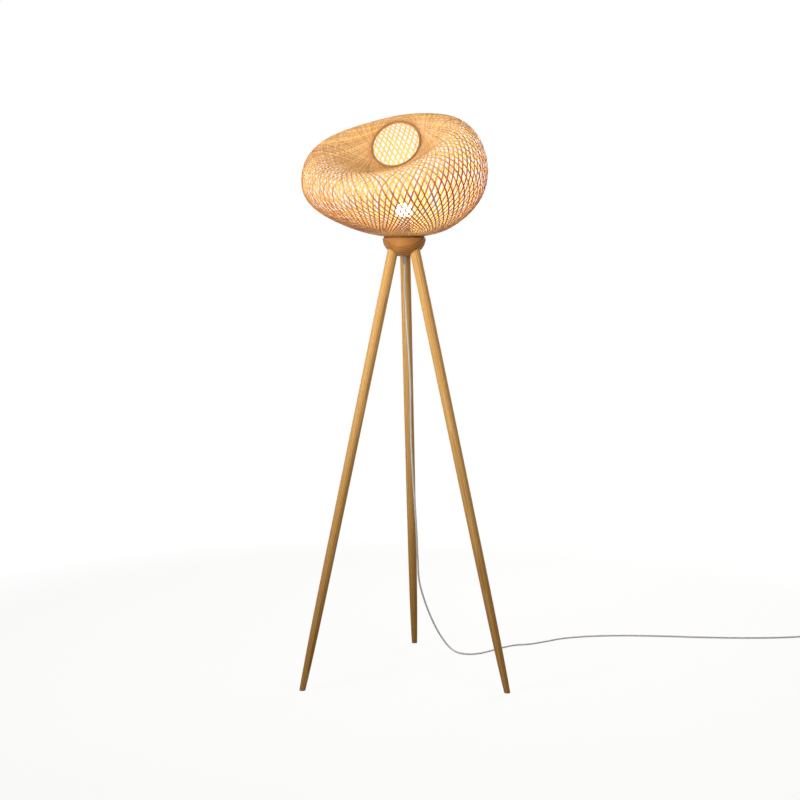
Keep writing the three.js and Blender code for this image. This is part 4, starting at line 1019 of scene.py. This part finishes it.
ring_count = rim_turns * steps_a_turn
large = np.linspace(0, 2 * math.pi, ring_count, endpoint=False)
small = large * rim_turns
half = rim_strip / rim_radius / 2
edges = [(half, rim_thickness), (-half, rim_thickness), (-half, 0), (half, 0)]
rings = np.stack([rim_points(large + shift, small, proud) for shift, proud in edges], axis=1)
lengths = 2 * math.pi * rim_reach / steps_a_turn * np.arange(ring_count + 1)
widths = rim_strip * np.arange(len(edges) + 1)
rim = tubes("bound_rim", rings[None], lengths[None], widths[None], closed=True, smooth=False)
carry_values(rim, tone=np.full(len(edges) * ring_count, 0.4), skin=np.ones(len(edges) * ring_count))
face_outwards(rim)
dress(rim, "lamp", "rattan", binding_skin)
print("rim faces:", len(rim.data.polygons))

# %% [markdown]
# ## The bulb
# The lamp is lit by a small globe bulb. Its frosted glass glows evenly and clips to white, as a lit bulb does.
# The glow on the strips' inner faces comes from a point light in the globe, which the glass doesn't shade.

# %% Turn the globe and light it
bulb_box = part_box("bulb_globe")
globe_radius, seam_radius, glass_lip = 22.5 * mm, 17 * mm, 1.2 * mm
globe_height = bulb_box[1].z - globe_radius
seam = -math.degrees(math.acos(seam_radius / globe_radius))
outline = [(0, bulb_box[0].z), (seam_radius - glass_lip, bulb_box[0].z)]
outline += arc(0, globe_height, globe_radius, globe_radius, seam, 90, 28)[:-1] + [(0, bulb_box[1].z)]
globe = turned("frosted_globe", outline, 48, hub_axis[:2])
dress(globe, "bulb", "diffuser", finishes["diffuser"], "bulb_globe")
globe.visible_shadow = False
select_nothing()
bpy.ops.object.light_add(type="POINT", location=hub_axis + upward * globe_height)
glow = bpy.context.object
glow.name, glow.data.energy, glow.data.color = "glow_of_the_bulb", 2.5, (1, 0.79, 0.34)
glow.data.shadow_soft_size = globe_radius
print("globe at height", round(globe_height, 4))

# %% [markdown]
# ## Pieces that stay as CAD
# The holder, its fittings, the fastenings and the switch and plug have their true shapes in CAD already. Each
# keeps its mesh and gets a material by the slot that the record names. The plate between hub and shade is
# plain steel, but it is coloured dark brown as a painted shadow line.

# %% Finish the carried-over nodes
slot_of = {part["node"]: part["material_slot"] for part in frame["record"]["subparts"]}
# The plate's dark brown is a painted shadow line, not the steel's own colour.
painted_shadow_steel = metal_material("steel_painted_shadow", tint(92, 66, 46), 0.5)
kept = [node for node in frame["nodes"].values() if not node.hide_render]
for node in kept:
    name = node["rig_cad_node"]
    coat(node, painted_shadow_steel if name == "shade_carrier" else finishes[slot_of[name]])
print("kept as CAD:", len(kept))

# %% [markdown]
# ## The lengths of the cords
# The switch goes with the first length, and the tie and the plug with the second.

print("cord lengths, m:", way_along(run_points)[-1].round(3), way_along(coil_points)[-1].round(3))

# %% [markdown]
# ## How far past the CAD box
# The finished lamp's box is measured, and how far it reaches past the CAD model's box on each side is printed.

# %% Measure the box and finish
low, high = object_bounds()
past = [round(x / mm, 2) for x in [*(cad_low - low), *(high - cad_high)]]
print("past the CAD box, mm (low x y z, high x y z):", past)
